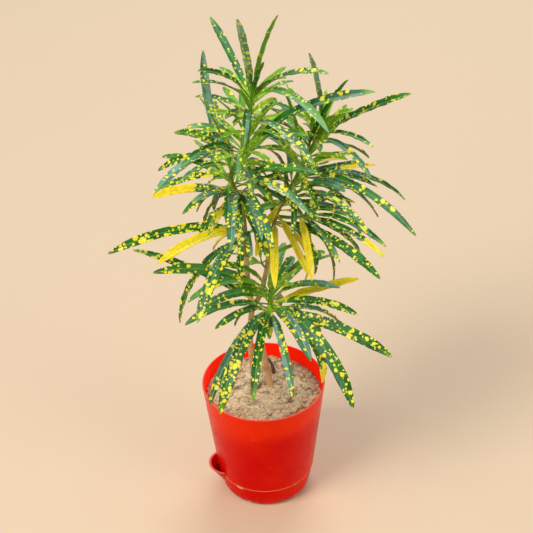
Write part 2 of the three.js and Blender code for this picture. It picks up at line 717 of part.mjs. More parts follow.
// Soil that fills the pot and its foot well, with a lumpy top and plain holes for the stems.
function soil() {
  const topRadius = innerRadiusAt(SOIL_HEIGHT) - SOIL_GAP;
  const topRings = Array.from({ length: SOIL_RINGS }, (_, k) => {
    return [topRadius * (1 - k / SOIL_RINGS), SOIL_HEIGHT];
  });
  const profile = [
    [0, WELL_BOTTOM + POT_WALL + GAP],
    [WELL_RADIUS - WELL_TAPER - POT_WALL - SOIL_GAP, WELL_BOTTOM + POT_WALL + GAP],
    [WELL_RADIUS - POT_WALL - SOIL_GAP, floorTop + GAP],
    ...shoulderProfile(SOIL_GAP).reverse(),
    ...topRings,
    [0, SOIL_HEIGHT],
  ].map(([radius, height]) => new THREE.Vector2(radius, height));
  const geometry = new THREE.LatheGeometry(profile, SOIL_SIDES).rotateX(Math.PI / 2);
  const clods = scatterClods();
  const position = geometry.attributes.position;
  for (let i = 0; i < position.count; i++) {
    const [x, y, z] = [position.getX(i), position.getY(i), position.getZ(i)];
    if (z > SOIL_HEIGHT - 1) position.setZ(i, z + clodHeight(clods, x, y));
  }
  const holes = ["mainWood", "secondWood", "deadWood"].map((stem) => {
    const [x, y, foot] = STEMS[stem].route[0];
    const radius = STEMS[stem].radius[0];
    return stemSolid(stem, STEM_HOLE_GAP).add(
      tubeHole(x, y, radius + STEM_HOLE_GAP, foot - HOLE_FOOT_GAP, foot + 1),
    );
  });
  return wasm.Manifold.difference([solidFromGeometry(geometry), ...holes]);
}

// Assembly

const MATERIALS = {
  redPlastic: new THREE.MeshStandardMaterial({ color: "#d2200c", roughness: 0.28, metalness: 0 }),
  soil: new THREE.MeshStandardMaterial({ color: "#b39470", roughness: 0.95, metalness: 0 }),
  wood: new THREE.MeshStandardMaterial({ color: "#9a7448", roughness: 0.8, metalness: 0 }),
  deadWood: new THREE.MeshStandardMaterial({ color: "#5b3a22", roughness: 0.85, metalness: 0 }),
  leaf: new THREE.MeshStandardMaterial({ color: "#2f6a2c", roughness: 0.4, metalness: 0 }),
  youngLeaf: new THREE.MeshStandardMaterial({ color: "#7fb53a", roughness: 0.4, metalness: 0 }),
};

function piece(name, solid, material) {
  const { numProp, vertProperties, triVerts } = solid.getMesh();
  const geometry = new THREE.BufferGeometry();
  const positions = new Float32Array((vertProperties.length / numProp) * 3);
  for (let i = 0; i * numProp < vertProperties.length; i++) {
    positions.set(vertProperties.subarray(i * numProp, i * numProp + 3), i * 3);
  }
  geometry.setAttribute("position", new THREE.BufferAttribute(positions, 3));
  geometry.setIndex(Array.from(triVerts));
  geometry.computeVertexNormals();
  const mesh = new THREE.Mesh(geometry, material);
  mesh.name = name;
  return mesh;
}

const croton = new THREE.Group();
croton.add(
  piece("pot_body", potBody(), MATERIALS.redPlastic),
  piece("base_tray", baseTray(), MATERIALS.redPlastic),
  piece("soil", soil(), MATERIALS.soil),
  piece("main_stem", stemSolid("mainWood").add(stemSolid("branchWood")), MATERIALS.wood),
  piece("second_stem", stemSolid("secondWood"), MATERIALS.wood),
  piece("dead_stub", stemSolid("deadWood"), MATERIALS.deadWood),
  piece("left_leafy_stem", leafyStem("left_leafy_stem"), MATERIALS.leaf),
  piece("right_leafy_stem", leafyStem("right_leafy_stem"), MATERIALS.leaf),
  piece("low_leafy_stem", leafyStem("low_leafy_stem"), MATERIALS.leaf),
  piece("young_shoot", leafyStem("young_shoot"), MATERIALS.youngLeaf),
);

export default croton;
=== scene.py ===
# A potted croton: narrow spotted leaves on forked woody stems, in a red self-watering pot.
# The plant is grown by the same seeded rule as the solids, in millimetres, and drawn with finer leaves.

import math
from collections import namedtuple

import bmesh
import bpy
import numpy as np
from mathutils import Matrix, Vector, noise


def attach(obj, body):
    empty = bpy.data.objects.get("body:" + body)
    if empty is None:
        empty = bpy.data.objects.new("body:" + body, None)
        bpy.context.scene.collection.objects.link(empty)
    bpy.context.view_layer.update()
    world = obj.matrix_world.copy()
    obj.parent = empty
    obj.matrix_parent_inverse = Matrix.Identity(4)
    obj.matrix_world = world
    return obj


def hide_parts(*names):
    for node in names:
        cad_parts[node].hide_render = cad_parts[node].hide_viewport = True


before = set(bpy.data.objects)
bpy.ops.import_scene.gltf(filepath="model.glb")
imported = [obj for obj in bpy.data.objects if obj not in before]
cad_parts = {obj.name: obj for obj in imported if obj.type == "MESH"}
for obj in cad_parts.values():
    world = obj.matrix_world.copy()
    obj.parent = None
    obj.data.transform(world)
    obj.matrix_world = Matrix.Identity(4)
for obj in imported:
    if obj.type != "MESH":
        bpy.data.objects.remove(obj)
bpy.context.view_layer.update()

MM = 0.001

# Pot and tray. Points of a profile are (radius, height).
RIM_RADIUS = 65
POT_HEIGHT = 138
POT_WALL = 1.6
SEAM_HEIGHT = 27
SEAM_RADIUS = 52
SHOULDER_HEIGHT = 33
SHOULDER_INSET = 2
TRAY_HEEL_RADIUS = 47.8
TRAY_HEEL_HEIGHT = 8
FLOOR_HEIGHT = 16
FLOOR_TOP = 18
WELL_RADIUS = 15
WELL_TAPER = 1
WELL_BOTTOM = 4.4
WELL_SLOTS = 4
SLOT_LENGTH = 8
SLOT_WIDTH = 3
SLOT_HEIGHT = 6
SLOT_MIDDLE = 10
DRAIN_COUNT = 6
DRAIN_CIRCLE = 32
DRAIN_RADIUS = 2
GAP = 0.3
SIDE_GAP = 0.5
TURNED_SIDES = 176
DRAIN_SIDES = 24
CORNER_STEPS = 4
WELD_DISTANCE = 1e-7
SHARP_ANGLE = 35

# The rounded rim, from its outer face inwards: how far in from the rim's radius and below its top
RIM_BEAD = ((0.15, 1.4), (0, 0.9), (0.12, 0.4), (0.4, 0.1), (0.85, 0), (1.3, 0.15), (1.55, 0.5))
RIM_INNER_DROP = 1.2
SEAM_ROUNDING = 0.6

# The tray's foot and its floor inside, and the size of each rounded corner of its outer profile
TRAY_FOOT = ((40, 0), (44, 1.3), (46.6, 4))
TRAY_FLOOR = ((0, 2.4), (41, 2.4), (45.2, 5))
TRAY_ROUNDINGS = ((5, 0.4), (4, 2.5), (3, 1.2), (2, 1.2), (1, 1.5))

# Filling cup on the tray
CUP_FACING = 195
CUP_TOP = {"height": 34.5, "distance": 43.5, "radius": 20}
CUP_FOOT = {"height": 12, "distance": 36, "radius": 13}
CUP_SIDES = 112

# Soil. A rate is how fast a pattern changes, for each millimetre.
SOIL_HEIGHT = 122
SOIL_SEED = 41
CLOD_COUNT = 70
CLOD_MARGIN = 8
CLOD_RADIUS = 5.5
CLOD_RADIUS_SCATTER = 2.5
CLOD_RISE = 2.4
CLOD_RISE_SCATTER = 1.6
CLOD_SHARE = 0.72
ROUGH_HEIGHT = 1.3
ROUGH_RATE = 0.16
GRIT_HEIGHT = 0.35
GRIT_RATE = 0.9
HOLLOW_FROM = 0.2
HOLLOW_DEPTH = 1.6
SOIL_RINGS = 84
SOIL_SIDES = 260
AXIS_RADIUS = 0.01

# Crumbs on the soil. The pebbles placed one by one are x, y, size and paleness.
CRUMB_SEED = 733
CRUMB_TRIES = 2300
SMALLEST_CRUMB = 0.5
CRUMB_GROWTH = 2.9
MIDDLE_CRUMB = 1.3
LARGE_CRUMB = 2.6
PEBBLE_EVERY = 40
PEBBLE_SIZE = 2.4
PEBBLE_SCATTER = 2
WALL_MARGIN = 1.2
CRUMB_PATCH_RATE = 0.055
CRUMB_BAR = 0.02
MORE_AT_WALL = 0.4
CRUMB_SQUAT = 0.62
CRUMB_SQUAT_SCATTER = 0.2
CRUMB_STRETCH = (1.15, 0.9)
CRUMB_SUNK = 0.35
SMALL_CRUMB_SHADE = 0.6
PEBBLES = [(25, -36, 2.6, 1.0), (36, -25, 4.2, 0.4), (-30, -14, 3.4, 0.3)]

# Leaves
GOLDEN_ANGLE = 137.5
LEAF_SEED = 7
SEED_STEP = 101
SPINE_STEPS = 24
STALK_SHARE = 0.18
STALK_END = 0.06
OPENING_OUT = 0.3
TIP_SHARE = 0.2
TIP_BLUNTNESS = 0.5
YOUTH_CURVE = 1.2
YOUNG_RISE = 60
STRETCHES = (1, 1.04, 0.96, 1.08, 0.92, 1.13, 0.87, 1.18, 1.24)
ROOT_SHARE = 0.3
FOLD = 24
TIP_HALF_WIDTH = 0.5
CROWDED_STEPS = 6
LEAF_CLEARANCE = 1.2
OWN_SHARE = 0.55
OWN_CLEARANCE = 1
LOWEST_LEAF = POT_HEIGHT + 4
ASIDE_STEP = 5
ASIDE_TRIES = 9
STEM_BEAD_STEP = 4
STEM_STEPS_PER_POINT = 2

# Stems: centre line from the foot up, and radius at the foot and at the top
STEMS = {
    "mainWood": (
        [
            (-8, 9, 78), (-9, 8, 125), (-11, 6, 160), (-13, 4, 195), (-10, 2, 232), (-13, 0, 268),
            (-14, 0, 300),
        ],
        (3.6, 2.7),
    ),
    "branchWood": ([(-10, 2, 230), (0, 3, 252), (7, 4, 284), (12, 6, 318)], (2.6, 2.3)),
    "secondWood": ([(7, 7, 78), (7, 7, 125), (2, 3, 165), (-1, -2, 196), (4, -5, 218)], (3.4, 2.6)),
    "leftGreen": (
        [
            (-14, 0, 300.4), (-14, -1, 328), (-17, -3, 366), (-26, -6, 396), (-18, -5, 414), (-9, -2, 433),
            (-6, 1, 458), (-3, 2, 484), (1, 2, 498),
        ],
        (2.6, 1.4),
    ),
    "rightGreen": (
        [
            (12, 6, 318.4), (18, 8, 345), (30, 11, 368), (44, 12, 398), (54, 14, 418), (64, 16, 442),
            (67, 17, 456),
        ],
        (2.3, 1.4),
    ),
    "rightFront": ([(18, 8, 341), (32, 1, 344), (44, -6, 350), (48, -9, 360)], (1.8, 1.3)),
    "rightMiddle": ([(30, 11, 366), (37, 3, 372), (42, -4, 380), (43, -5, 388)], (1.8, 1.3)),
    "lowGreen": ([(4, -5, 218.4), (8, -6, 238), (9, -6, 256), (11, -5, 270)], (2.6, 1.4)),
    "youngGreen": ([(5.4, 1.2, 284), (3, -3, 290), (1, -6, 298)], (1.2, 0.9)),
    "deadWood": ([(11, 31, 96), (11, 31, 124), (9, 35, 132), (5, 40, 136)], (2.2, 1.5)),
}
GREEN_STEMS = {
    "left_leafy_stem": ["leftGreen"],
    "right_leafy_stem": ["rightGreen", "rightFront", "rightMiddle"],
    "low_leafy_stem": ["lowGreen"],
    "young_shoot": ["youngGreen"],
}

# One whorl of leaves. Each pair runs from its oldest leaf to its youngest.
Whorl = namedtuple("Whorl", "stem top span count facing fan turn rise length droop width seen")

# Each seen leaf is its tip in the viewer's picture, across and down, then width, length, rise and droop.
WHORLS = {
    "left_leafy_stem": [
        Whorl("leftGreen", 346, 20, 3, 80, 60, 60, (-15, 15), (90, 70), (50, 40), (10, 9), [
            (108, 254, 10, 142, 22, 44), (197, 323, 12, 128, 10, 66), (158, 264, 11, 112, 16, 44),
            (180, 323, 10, 138, 4, 52), (213, 250, 8, 62, 6, 50), (251, 262, 7, 62, 10, 80),
        ]),
        Whorl("leftGreen", 400, 26, 6, 90, 75, 20, (-20, 40), (90, 62), (55, 20), (9, 7), [
            (152, 198, 10, 102, 10, 34), (205, 227, 9, 82, 5, 66), (231, 251, 10, 112, 12, 84),
            (192, 203, 9, 72, 4, 40), (273, 250, 10, 112, 12, 84), (318, 174, 8, 105, 34, 50),
            (235, 228, 8, 76, 14, 84), (262, 240, 9, 92, 6, 70), (190, 162, 10, 80, 24, 50),
            (309, 214, 8, 112, 34, 70), (162, 157, 7, 92, 34, 50), (213, 99, 11, 86, 56, 10),
            (200, 98, 6, 96, 62, 20), (203, 50, 9, 128, 64, -45),
        ]),
        Whorl("leftGreen", 436, 22, 5, 90, 75, -60, (-15, 40), (92, 60), (46, 25), (9, 7), [
            (158, 171, 8, 104, 8, 44), (153, 195, 9, 134, 20, 66), (181, 167, 8, 104, 22, 58),
            (174, 133, 9, 100, 24, 32), (285, 194, 8, 112, 24, 96), (186, 129, 8, 92, 40, 50),
            (308, 136, 8, 86, 34, 50), (375, 92, 11, 152, 40, 38), (218, 100, 6, 82, 56, 22),
            (279, 102, 6, 82, 58, 22),
        ]),
        Whorl("leftGreen", 480, 26, 6, 90, 75, -48, (-12, 48), (84, 48), (60, 20), (8, 7), [
            (315, 167, 10, 106, 12, 46), (244, 146, 8, 80, 20, 80), (329, 133, 8, 128, 50, 86),
            (225, 119, 8, 60, 18, 40), (192, 83, 7, 92, 42, 42), (272, 90, 8, 52, 52, 20),
            (329, 74, 9, 116, 50, 48), (198, 71, 7, 92, 50, 42), (286, 78, 9, 82, 54, 30),
            (278, 15, 7, 112, 72, 18), (264, 62, 8, 60, 76, 10), (210, 17, 8, 102, 50, 18),
            (237, 19, 9, 106, 74, 12),
        ]),
    ],
    "right_leafy_stem": [
        Whorl("rightGreen", 346, 14, 2, 90, 50, 60, (-10, 10), (76, 66), (50, 40), (9, 8), [
            (334, 258, 13, 96, 4, 58), (380, 279, 11, 138, 14, 52), (275, 288, 9, 102, 0, 74),
            (302, 287, 8, 96, 2, 88),
        ]),
        Whorl("rightFront", 358, 12, 0, 0, 90, 0, (0, 20), (80, 70), (50, 40), (9, 8), [
            (333, 283, 7, 92, 0, 62), (312, 281, 8, 86, 4, 78), (384, 257, 8, 106, 14, 42),
            (386, 247, 8, 112, 16, 52), (340, 263, 6, 80, 6, 60), (362, 256, 8, 86, 8, 50),
            (333, 210, 6, 52, 26, 32), (342, 188, 8, 70, 28, 20),
        ]),
        Whorl("rightMiddle", 387, 9, 0, 0, 90, 0, (0, 20), (80, 70), (50, 40), (9, 8), [
            (371, 238, 8, 106, 12, 60), (361, 237, 8, 98, 6, 60), (345, 192, 10, 72, 24, 50),
        ]),
        Whorl("rightGreen", 400, 22, 4, 90, 75, -52, (-15, 36), (90, 60), (46, 22), (9, 7), [
            (378, 217, 11, 122, 14, 52), (375, 165, 7, 100, 12, 8), (416, 236, 8, 158, 24, 62),
            (364, 163, 7, 86, 16, 16), (405, 200, 8, 132, 22, 54), (377, 187, 7, 96, 16, 42),
            (348, 160, 6, 62, 26, 56), (329, 162, 6, 42, 26, 30), (348, 80, 8, 112, 48, 20),
            (280, 101, 6, 92, 60, 20), (283, 89, 6, 108, 50, 20),
        ]),
        Whorl("rightGreen", 440, 20, 4, 90, 75, -32, (-10, 40), (78, 46), (44, 20), (8, 6.5), [
            (327, 115, 8, 42, 64, 4), (371, 178, 7, 86, 18, 62), (320, 152, 8, 42, 4, 60),
            (373, 147, 7, 76, 24, 50), (296, 147, 7, 50, 22, 50), (411, 94, 11, 126, 26, 12),
            (321, 117, 6, 42, 54, 10), (353, 109, 6, 62, 58, 10), (309, 53, 7, 112, 68, 20),
        ]),
    ],
    "low_leafy_stem": [
        Whorl("lowGreen", 260, 28, 6, 90, 80, -44, (-5, 40), (104, 70), (60, 38), (12, 9), [
            (220, 414, 14, 144, 14, 84), (353, 408, 14, 154, 26, 88), (392, 357, 14, 136, 8, 34),
            (253, 401, 10, 126, 12, 80), (210, 405, 10, 132, 4, 74), (293, 398, 9, 122, 6, 74),
            (133, 250, 10, 152, 6, 22), (322, 383, 11, 112, 22, 88), (311, 361, 11, 92, 14, 80),
            (187, 303, 8, 110, 50, 92), (153, 273, 11, 142, 34, 60), (358, 315, 10, 98, 24, 50),
            (359, 279, 11, 98, 26, 8), (203, 308, 10, 92, 32, 70), (215, 329, 8, 76, 14, 50),
            (215, 266, 10, 92, 44, 60), (340, 288, 8, 92, 34, 60), (235, 326, 7, 60, 4, 60),
            (325, 252, 11, 102, 38, 50), (274, 274, 9, 46, 56, 20),
        ]),
    ],
    "young_shoot": [
        Whorl("youngGreen", 296, 5, 3, 100, 100, -150, (10, 60), (44, 30), (40, 10), (6, 5), [
            (240, 276, 7, 58, 14, 50),
        ]),
    ],
}

# Small leaves that fill the crown behind the others: the node, its stem, the stretch of stem, their number
# and the length of the oldest
INNER = (
    ("left_leafy_stem", "leftGreen", 354, 466, 42, 76),
    ("right_leafy_stem", "rightGreen", 338, 430, 36, 76),
    ("low_leafy_stem", "lowGreen", 238, 264, 7, 50),
)
INNER_SEED = 5003
INNER_SHORTEST = 46
INNER_RISE = (-6, 48)
INNER_DROOP = (70, 34)
INNER_WIDTH = (8, 5.6)
INNER_SCATTER = {"azimuth": 20, "rise": 22, "length": 0.25, "droop": 24, "width": 1.2}

# Where the viewer stands, and the picture that the viewer sees, which is as far across as it is down
EYE = np.array([6.3, -1307.2, 1220.7])
VIEW_RISE = 35.56
VIEW_ROLL = -1.48
VIEW_REACH = 1600
VIEW_MIDDLE = 266.5
SCATTER = {"azimuth": 8, "rise": 7, "length": 0.12, "droop": 0.2, "sweep": 14, "width": 0.12, "roll": 18}
FACING_ROLL = 30
ROLLED_BY = 0.35

# The way a leaf faces that gets the painted grey sheen, a reflection of the sky: up and a little towards the
# viewer
SKYWARD = (0.0, -0.33, 0.944)

# Finer drawing of leaves. A station is a share of the leaf's length, and they lie closest at the tip.
LEAF_STATIONS = np.append(np.linspace(0, 0.955, 30), (0.971, 0.985, 0.996, 1))
ACROSS = np.linspace(-1, 1, 9)
FINE_SPINE_STEPS = 4 * SPINE_STEPS
LEAF_SHAPE_SEED = 911
LEAF_SHAPE_STEP = 17
STALK_DEPTH = 1.6
BLADE_DEPTH = 0.7
STALK_ROUNDING = 0.85
EDGE_THINNING = 0.5
POINT_HALF_WIDTH = 0.28
FOLD_SCATTER = 5
VALLEY_ROUNDING = 0.015
CURL = 0.1
CURL_SCATTER = 0.08
LEAST_WAVE = 0.035
WAVE_SCATTER = 0.05
WAVE_LENGTH = 17
WAVE_LENGTH_SCATTER = 4
RIB_HEIGHT = 0.3
RIB_HALF_WIDTH = 0.55
RIB_SUNK_ABOVE = 0.3
PATTERN_STEP = 41.3
YELLOW_EDGE = 0.2

# Finer drawing of stems: their leaf scars, with a spacing that drifts, and their lumps
FINE_STEM_STEPS = 14
FINE_STEM_SIDES = 20
SCAR_RATE = 0.62
SCAR_DRIFT = 0.7
SCAR_DRIFT_RATE = 0.21
SCAR_SHARPNESS = 6
STEM_LUMP = 0.07
LUMP_TURN = 0.9
LUMP_RATE = 0.09
STEM_PATTERN_STEP = 3.1


def mix(a, b, share):
    return a + (b - a) * share


def smooth(x):
    t = min(1.0, max(0.0, x))
    return t * t * (3 - 2 * t)


def draw_from(seed):
    """A seeded draw, even over plus or minus the given amount."""
    multiplier = 16807
    modulus = 2147483647
    state = [seed]

    def draw(amount):
        state[0] = (state[0] * multiplier) % modulus
        return amount * ((2 * state[0]) / modulus - 1)

    return draw


# Growing the plant

# A leaf's shape. Its tip is the place in the viewer's picture of a seen leaf's tip, or else None or "inner".
Leaf = namedtuple("Leaf", "root azimuth rise length droop sweep width roll youth tip")


def curve_point(route, share):
    """A point on the smooth curve through the route's points."""
    last = len(route) - 1
    place = min(max(share, 0.0), 1.0) * last
    step = min(int(math.floor(place)), last - 1)
    t = place - step
    points = [np.array(p, float) for p in route]
    one = points[step]
    two = points[step + 1]
    before = points[step - 1] if step > 0 else 2 * points[0] - points[1]
    after = points[step + 2] if step + 2 <= last else 2 * points[last] - points[last - 1]
    slope_one = 0.5 * (two - before)
    slope_two = 0.5 * (after - one)
    cubic = 2 * one - 2 * two + slope_one + slope_two
    square = -3 * one + 3 * two - 2 * slope_one - slope_two
    return one + slope_one * t + square * t**2 + cubic * t**3


def stem_points(stem, per_point=STEM_STEPS_PER_POINT):
    """Points on the stem's centre line, each with the stem's radius there."""
    route, radius = STEMS[stem]
    steps = (len(route) - 1) * per_point
    return [(curve_point(route, i / steps), mix(*radius, i / steps)) for i in range(steps + 1)]


def root_in(stem, height, azimuth):
    """Where a leaf is rooted: inside the stem at a height, on the side that the leaf grows to."""
    points = stem_points(stem)
    above = next(i for i, (at, _) in enumerate(points) if at[2] >= height)
    upper = max(1, above)
    low, low_radius = points[upper - 1]
    high, _ = points[upper]
    root = mix(low, high, (height - low[2]) / (high[2] - low[2]))
    offset = low_radius * ROOT_SHARE
    return root + np.array([offset * math.cos(azimuth), offset * math.sin(azimuth), 0])


def viewer_axes():
    """The viewer's right, up and back."""
    rise = math.radians(VIEW_RISE)
    roll = math.radians(VIEW_ROLL)
    level = np.array([1, 0, 0])
    upright = np.array([0, math.sin(rise), math.cos(rise)])
    right = level * math.cos(roll) + upright * math.sin(roll)
    up = -level * math.sin(roll) + upright * math.cos(roll)
    back = np.array([0, -math.cos(rise), math.sin(rise)])
    return right, up, back


def sight_line(across, down):
    """The direction in which the viewer sees a point of the picture."""
    right, up, back = viewer_axes()
    line = -back * VIEW_REACH + right * (across - VIEW_MIDDLE) - up * (down - VIEW_MIDDLE)
    return line / np.linalg.norm(line)


def seen_leaf(group, seen, roll):
    """The ways to turn a leaf so that the viewer sees its tip in its place: nearer or further away, and a
    little longer or shorter. The first way rises most like the leaf."""
    across, down, width, length, rise, droop = seen
    youth = min(1, rise / YOUNG_RISE)
    root = root_in(group.stem, group.top - group.span * (1 - youth), 0)
    line = sight_line(across, down)
    middle = EYE + line * np.dot(root - EYE, line)
    off = np.linalg.norm(middle - root)
    half_bend = math.radians(droop) / 2
    chord_share = math.sin(half_bend) / half_bend
    ways = []
    for stretch in STRETCHES:
        chord = max(off, length * stretch * chord_share)
        reach = math.sqrt(chord**2 - off**2)
        pair = []
        for way in (-1, 1):
            step = (middle + line * reach * way - root) / chord
            azimuth = math.degrees(math.atan2(step[1], step[0]))
            pair.append(Leaf(
                root=root,
                azimuth=azimuth,
                rise=math.degrees(math.asin(step[2])) + droop / 2,
                length=chord / chord_share,
                droop=droop,
                sweep=0,
                width=width,
                roll=roll + FACING_ROLL * math.cos(math.radians(azimuth)),
                youth=youth,
                tip=(across, down),
            ))
        pair.sort(key=lambda leaf: abs(leaf.rise - rise))
        ways += pair
    return ways


def whorl_leaves(group, draw):
    """Each leaf of a whorl, as the ways in which it may grow."""
    leaves = [seen_leaf(group, seen, draw(SCATTER["roll"])) for seen in group.seen]
    for i in range(group.count):
        youth = i / max(1, group.count - 1)
        bent = youth**YOUTH_CURVE
        turn = (group.turn - group.facing + i * GOLDEN_ANGLE + 180) % 360 - 180
        azimuth = group.facing + group.fan * turn / 180 + draw(SCATTER["azimuth"])
        height = group.top - group.span * (1 - youth)
        leaves.append([Leaf(
            root=root_in(group.stem, height, math.radians(azimuth)),
            azimuth=azimuth,
            rise=mix(*group.rise, bent) + draw(SCATTER["rise"]),
            length=mix(*group.length, bent) * (1 + draw(SCATTER["length"])),
            droop=mix(*group.droop, youth) * (1 + draw(SCATTER["droop"])),
            sweep=draw(SCATTER["sweep"]),
            width=mix(*group.width, youth) * (1 + draw(SCATTER["width"])),
            roll=draw(SCATTER["roll"]),
            youth=youth,
            tip=None,
        )])
    return leaves


def opened_at(s):
    return smooth((s - STALK_END) / OPENING_OUT)


def half_width(leaf, s):
    stalk = mix(STALK_SHARE, 1, opened_at(s))
    tip = min(1, (1 - s) / TIP_SHARE) ** TIP_BLUNTNESS
    return max(TIP_HALF_WIDTH, leaf.width / 2 * stalk * tip)


def heading(leaf, s):
    azimuth = math.radians(leaf.azimuth + leaf.sweep * s)
    rise = math.radians(leaf.rise - leaf.droop * s)
    level = math.cos(rise)
    return np.array([level * math.cos(azimuth), level * math.sin(azimuth), math.sin(rise)])


def spine_of(leaf, steps=SPINE_STEPS):
    points = [leaf.root]
    for i in range(steps):
        points.append(points[i] + heading(leaf, (i + 0.5) / steps) * leaf.length / steps)
    return np.array(points)


def leaf_beads(leaf):
    """The leaf as a chain of beads as wide as its blade: rows of x, y, z, radius."""
    radii = [half_width(leaf, i / SPINE_STEPS) for i in range(SPINE_STEPS + 1)]
    return np.column_stack([spine_of(leaf), radii])


def stem_beads(stem):
    points = stem_points(stem)
    beads = []
    for (low, radius), (high, _) in zip(points, points[1:]):
        steps = math.ceil(np.linalg.norm(high - low) / STEM_BEAD_STEP)
        for k in range(steps):
            beads.append([*mix(low, high, k / steps), radius])
    return np.array(beads)


def is_clear(leaf, others, own):
    beads = leaf_beads(leaf)
    if np.any(beads[:, 2] - beads[:, 3] <= LOWEST_LEAF):
        return False
    away = np.linalg.norm(beads[:, None, :3] - others[None, :, :3], axis=2)
    if np.any(away <= beads[:, None, 3] + others[None, :, 3] + LEAF_CLEARANCE):
        return False
    free = beads[CROWDED_STEPS:]
    away = np.linalg.norm(free[:, None, :3] - own[None, :, :3], axis=2)
    return not np.any(away <= OWN_SHARE * (free[:, None, 3] + own[None, :, 3]) + OWN_CLEARANCE)


def bent_clear(ways, others, own):
    """The leaf in the first of its ways that touches nothing, or a little aside or higher, or not at all."""
    for leaf in ways:
        if is_clear(leaf, others, own):
            return leaf
    for k in range(1, ASIDE_TRIES + 1):
        for aside, up in ((1, 0), (-1, 0), (0, 1), (1, 1), (-1, 1)):
            azimuth = ways[0].azimuth + aside * k * ASIDE_STEP
            moved = ways[0]._replace(azimuth=azimuth, rise=ways[0].rise + up * k * ASIDE_STEP)
            if is_clear(moved, others, own):
                return moved
    return None


def crowd_round(node, leaves_of):
    """Beads of what a node's leaves keep clear of: the other nodes' stems and leaves, and its own."""
    own_stems = GREEN_STEMS[node]
    others = [stem_beads(stem) for stem in STEMS if stem not in own_stems]
    others += [leaf_beads(leaf) for other in leaves_of if other != node for leaf in leaves_of[other]]
    own = [stem_beads(stem) for stem in own_stems]
    own += [leaf_beads(leaf)[CROWDED_STEPS:] for leaf in leaves_of[node]]
    return np.vstack(others), np.vstack(own)


def grow_plant():
    leaves_of = {}
    whorl_number = 0
    for node, groups in WHORLS.items():
        leaves_of[node] = []
        others, own = crowd_round(node, leaves_of)
        for group in groups:
            whorl_number += 1
            draw = draw_from(LEAF_SEED + SEED_STEP * whorl_number)
            for ways in whorl_leaves(group, draw):
                leaf = bent_clear(ways, others, own)
                if leaf is not None:
                    leaves_of[node].append(leaf)
                    own = np.vstack([own, leaf_beads(leaf)[CROWDED_STEPS:]])
    return leaves_of


def add_inner_leaves(leaves_of):
    """Adds small leaves that fill the crown, each clear of all the others and within their reach."""
    for number, (node, stem, low, high, count, longest) in enumerate(INNER):
        draw = draw_from(INNER_SEED + SEED_STEP * number)
        others, own = crowd_round(node, leaves_of)
        reach = own.min(axis=0), own.max(axis=0)
        for i in range(count):
            youth = (i + 0.5) / count
            azimuth = i * GOLDEN_ANGLE + draw(INNER_SCATTER["azimuth"])
            leaf = Leaf(
                root=root_in(stem, mix(low, high, youth), math.radians(azimuth)),
                azimuth=azimuth,
                rise=mix(*INNER_RISE, youth) + draw(INNER_SCATTER["rise"]),
                length=mix(longest, INNER_SHORTEST, youth) * (1 + draw(INNER_SCATTER["length"])),
                droop=mix(*INNER_DROOP, youth) + draw(INNER_SCATTER["droop"]),
                sweep=draw(SCATTER["sweep"]),
                width=mix(*INNER_WIDTH, youth) + draw(INNER_SCATTER["width"]),
                roll=draw(SCATTER["roll"]) + FACING_ROLL * math.cos(math.radians(azimuth)),
                youth=youth,
                tip="inner",
            )
            leaf = bent_clear([leaf], others, own)
            if leaf is None:
                continue
            beads = leaf_beads(leaf)[CROWDED_STEPS:]
            if (beads >= reach[0]).all() and (beads <= reach[1]).all():
                leaves_of[node].append(leaf)
                own = np.vstack([own, beads])


# Meshes


def add_object(name, data):
    added = bpy.data.objects.new(name, data)
    bpy.context.scene.collection.objects.link(added)
    return added


class Drawing:
    """Points, faces and attributes of one piece, gathered before its mesh is made."""

    def __init__(self):
        self.points = []
        self.faces = []
        self.slots = []
        self.place = []
        self.tone = []
        self.look = []

    def skin(self, rings, places, tones, material, look=(0, 0, 0)):
        """Joins equal rings of points in a skin with closed ends."""
        start = len(self.points)
        sides = len(rings[0])
        last = start + (len(rings) - 1) * sides
        for ring, place, tone in zip(rings, places, tones):
            self.points.extend(ring)
            self.place.extend(place)
            self.tone.extend(tone)
            self.look.extend([look] * sides)
        for row in range(start, last, sides):
            for k in range(sides):
                after = (k + 1) % sides
                self.faces.append((row + k, row + after, row + after + sides, row + k + sides))
        self.faces.append(tuple(start + k for k in reversed(range(sides))))
        self.faces.append(tuple(last + k for k in range(sides)))
        self.slots += [material] * (len(self.faces) - len(self.slots))

    def finish(self, name, materials):
        mesh = bpy.data.meshes.new(name)
        mesh.from_pydata((np.array(self.points) * MM).tolist(), [], self.faces)
        for key, kind, field, values in (
            ("place", "FLOAT_VECTOR", "vector", self.place),
            ("tone", "FLOAT_COLOR", "color", self.tone),
            ("look", "FLOAT_VECTOR", "vector", self.look),
        ):
            if len(values) == len(self.points):
                layer = mesh.attributes.new(key, kind, "POINT")
                layer.data.foreach_set(field, np.array(values, np.float32).ravel())
        for material in materials:
            mesh.materials.append(material)
        mesh.polygons.foreach_set("material_index", self.slots)
        mesh.shade_smooth()
        mesh.update()
        return add_object(name, mesh)


def turn_about(vector, axis, angle):
    cos = math.cos(angle)
    sin = math.sin(angle)
    return vector * cos + np.cross(axis, vector) * sin + axis * np.dot(axis, vector) * (1 - cos)


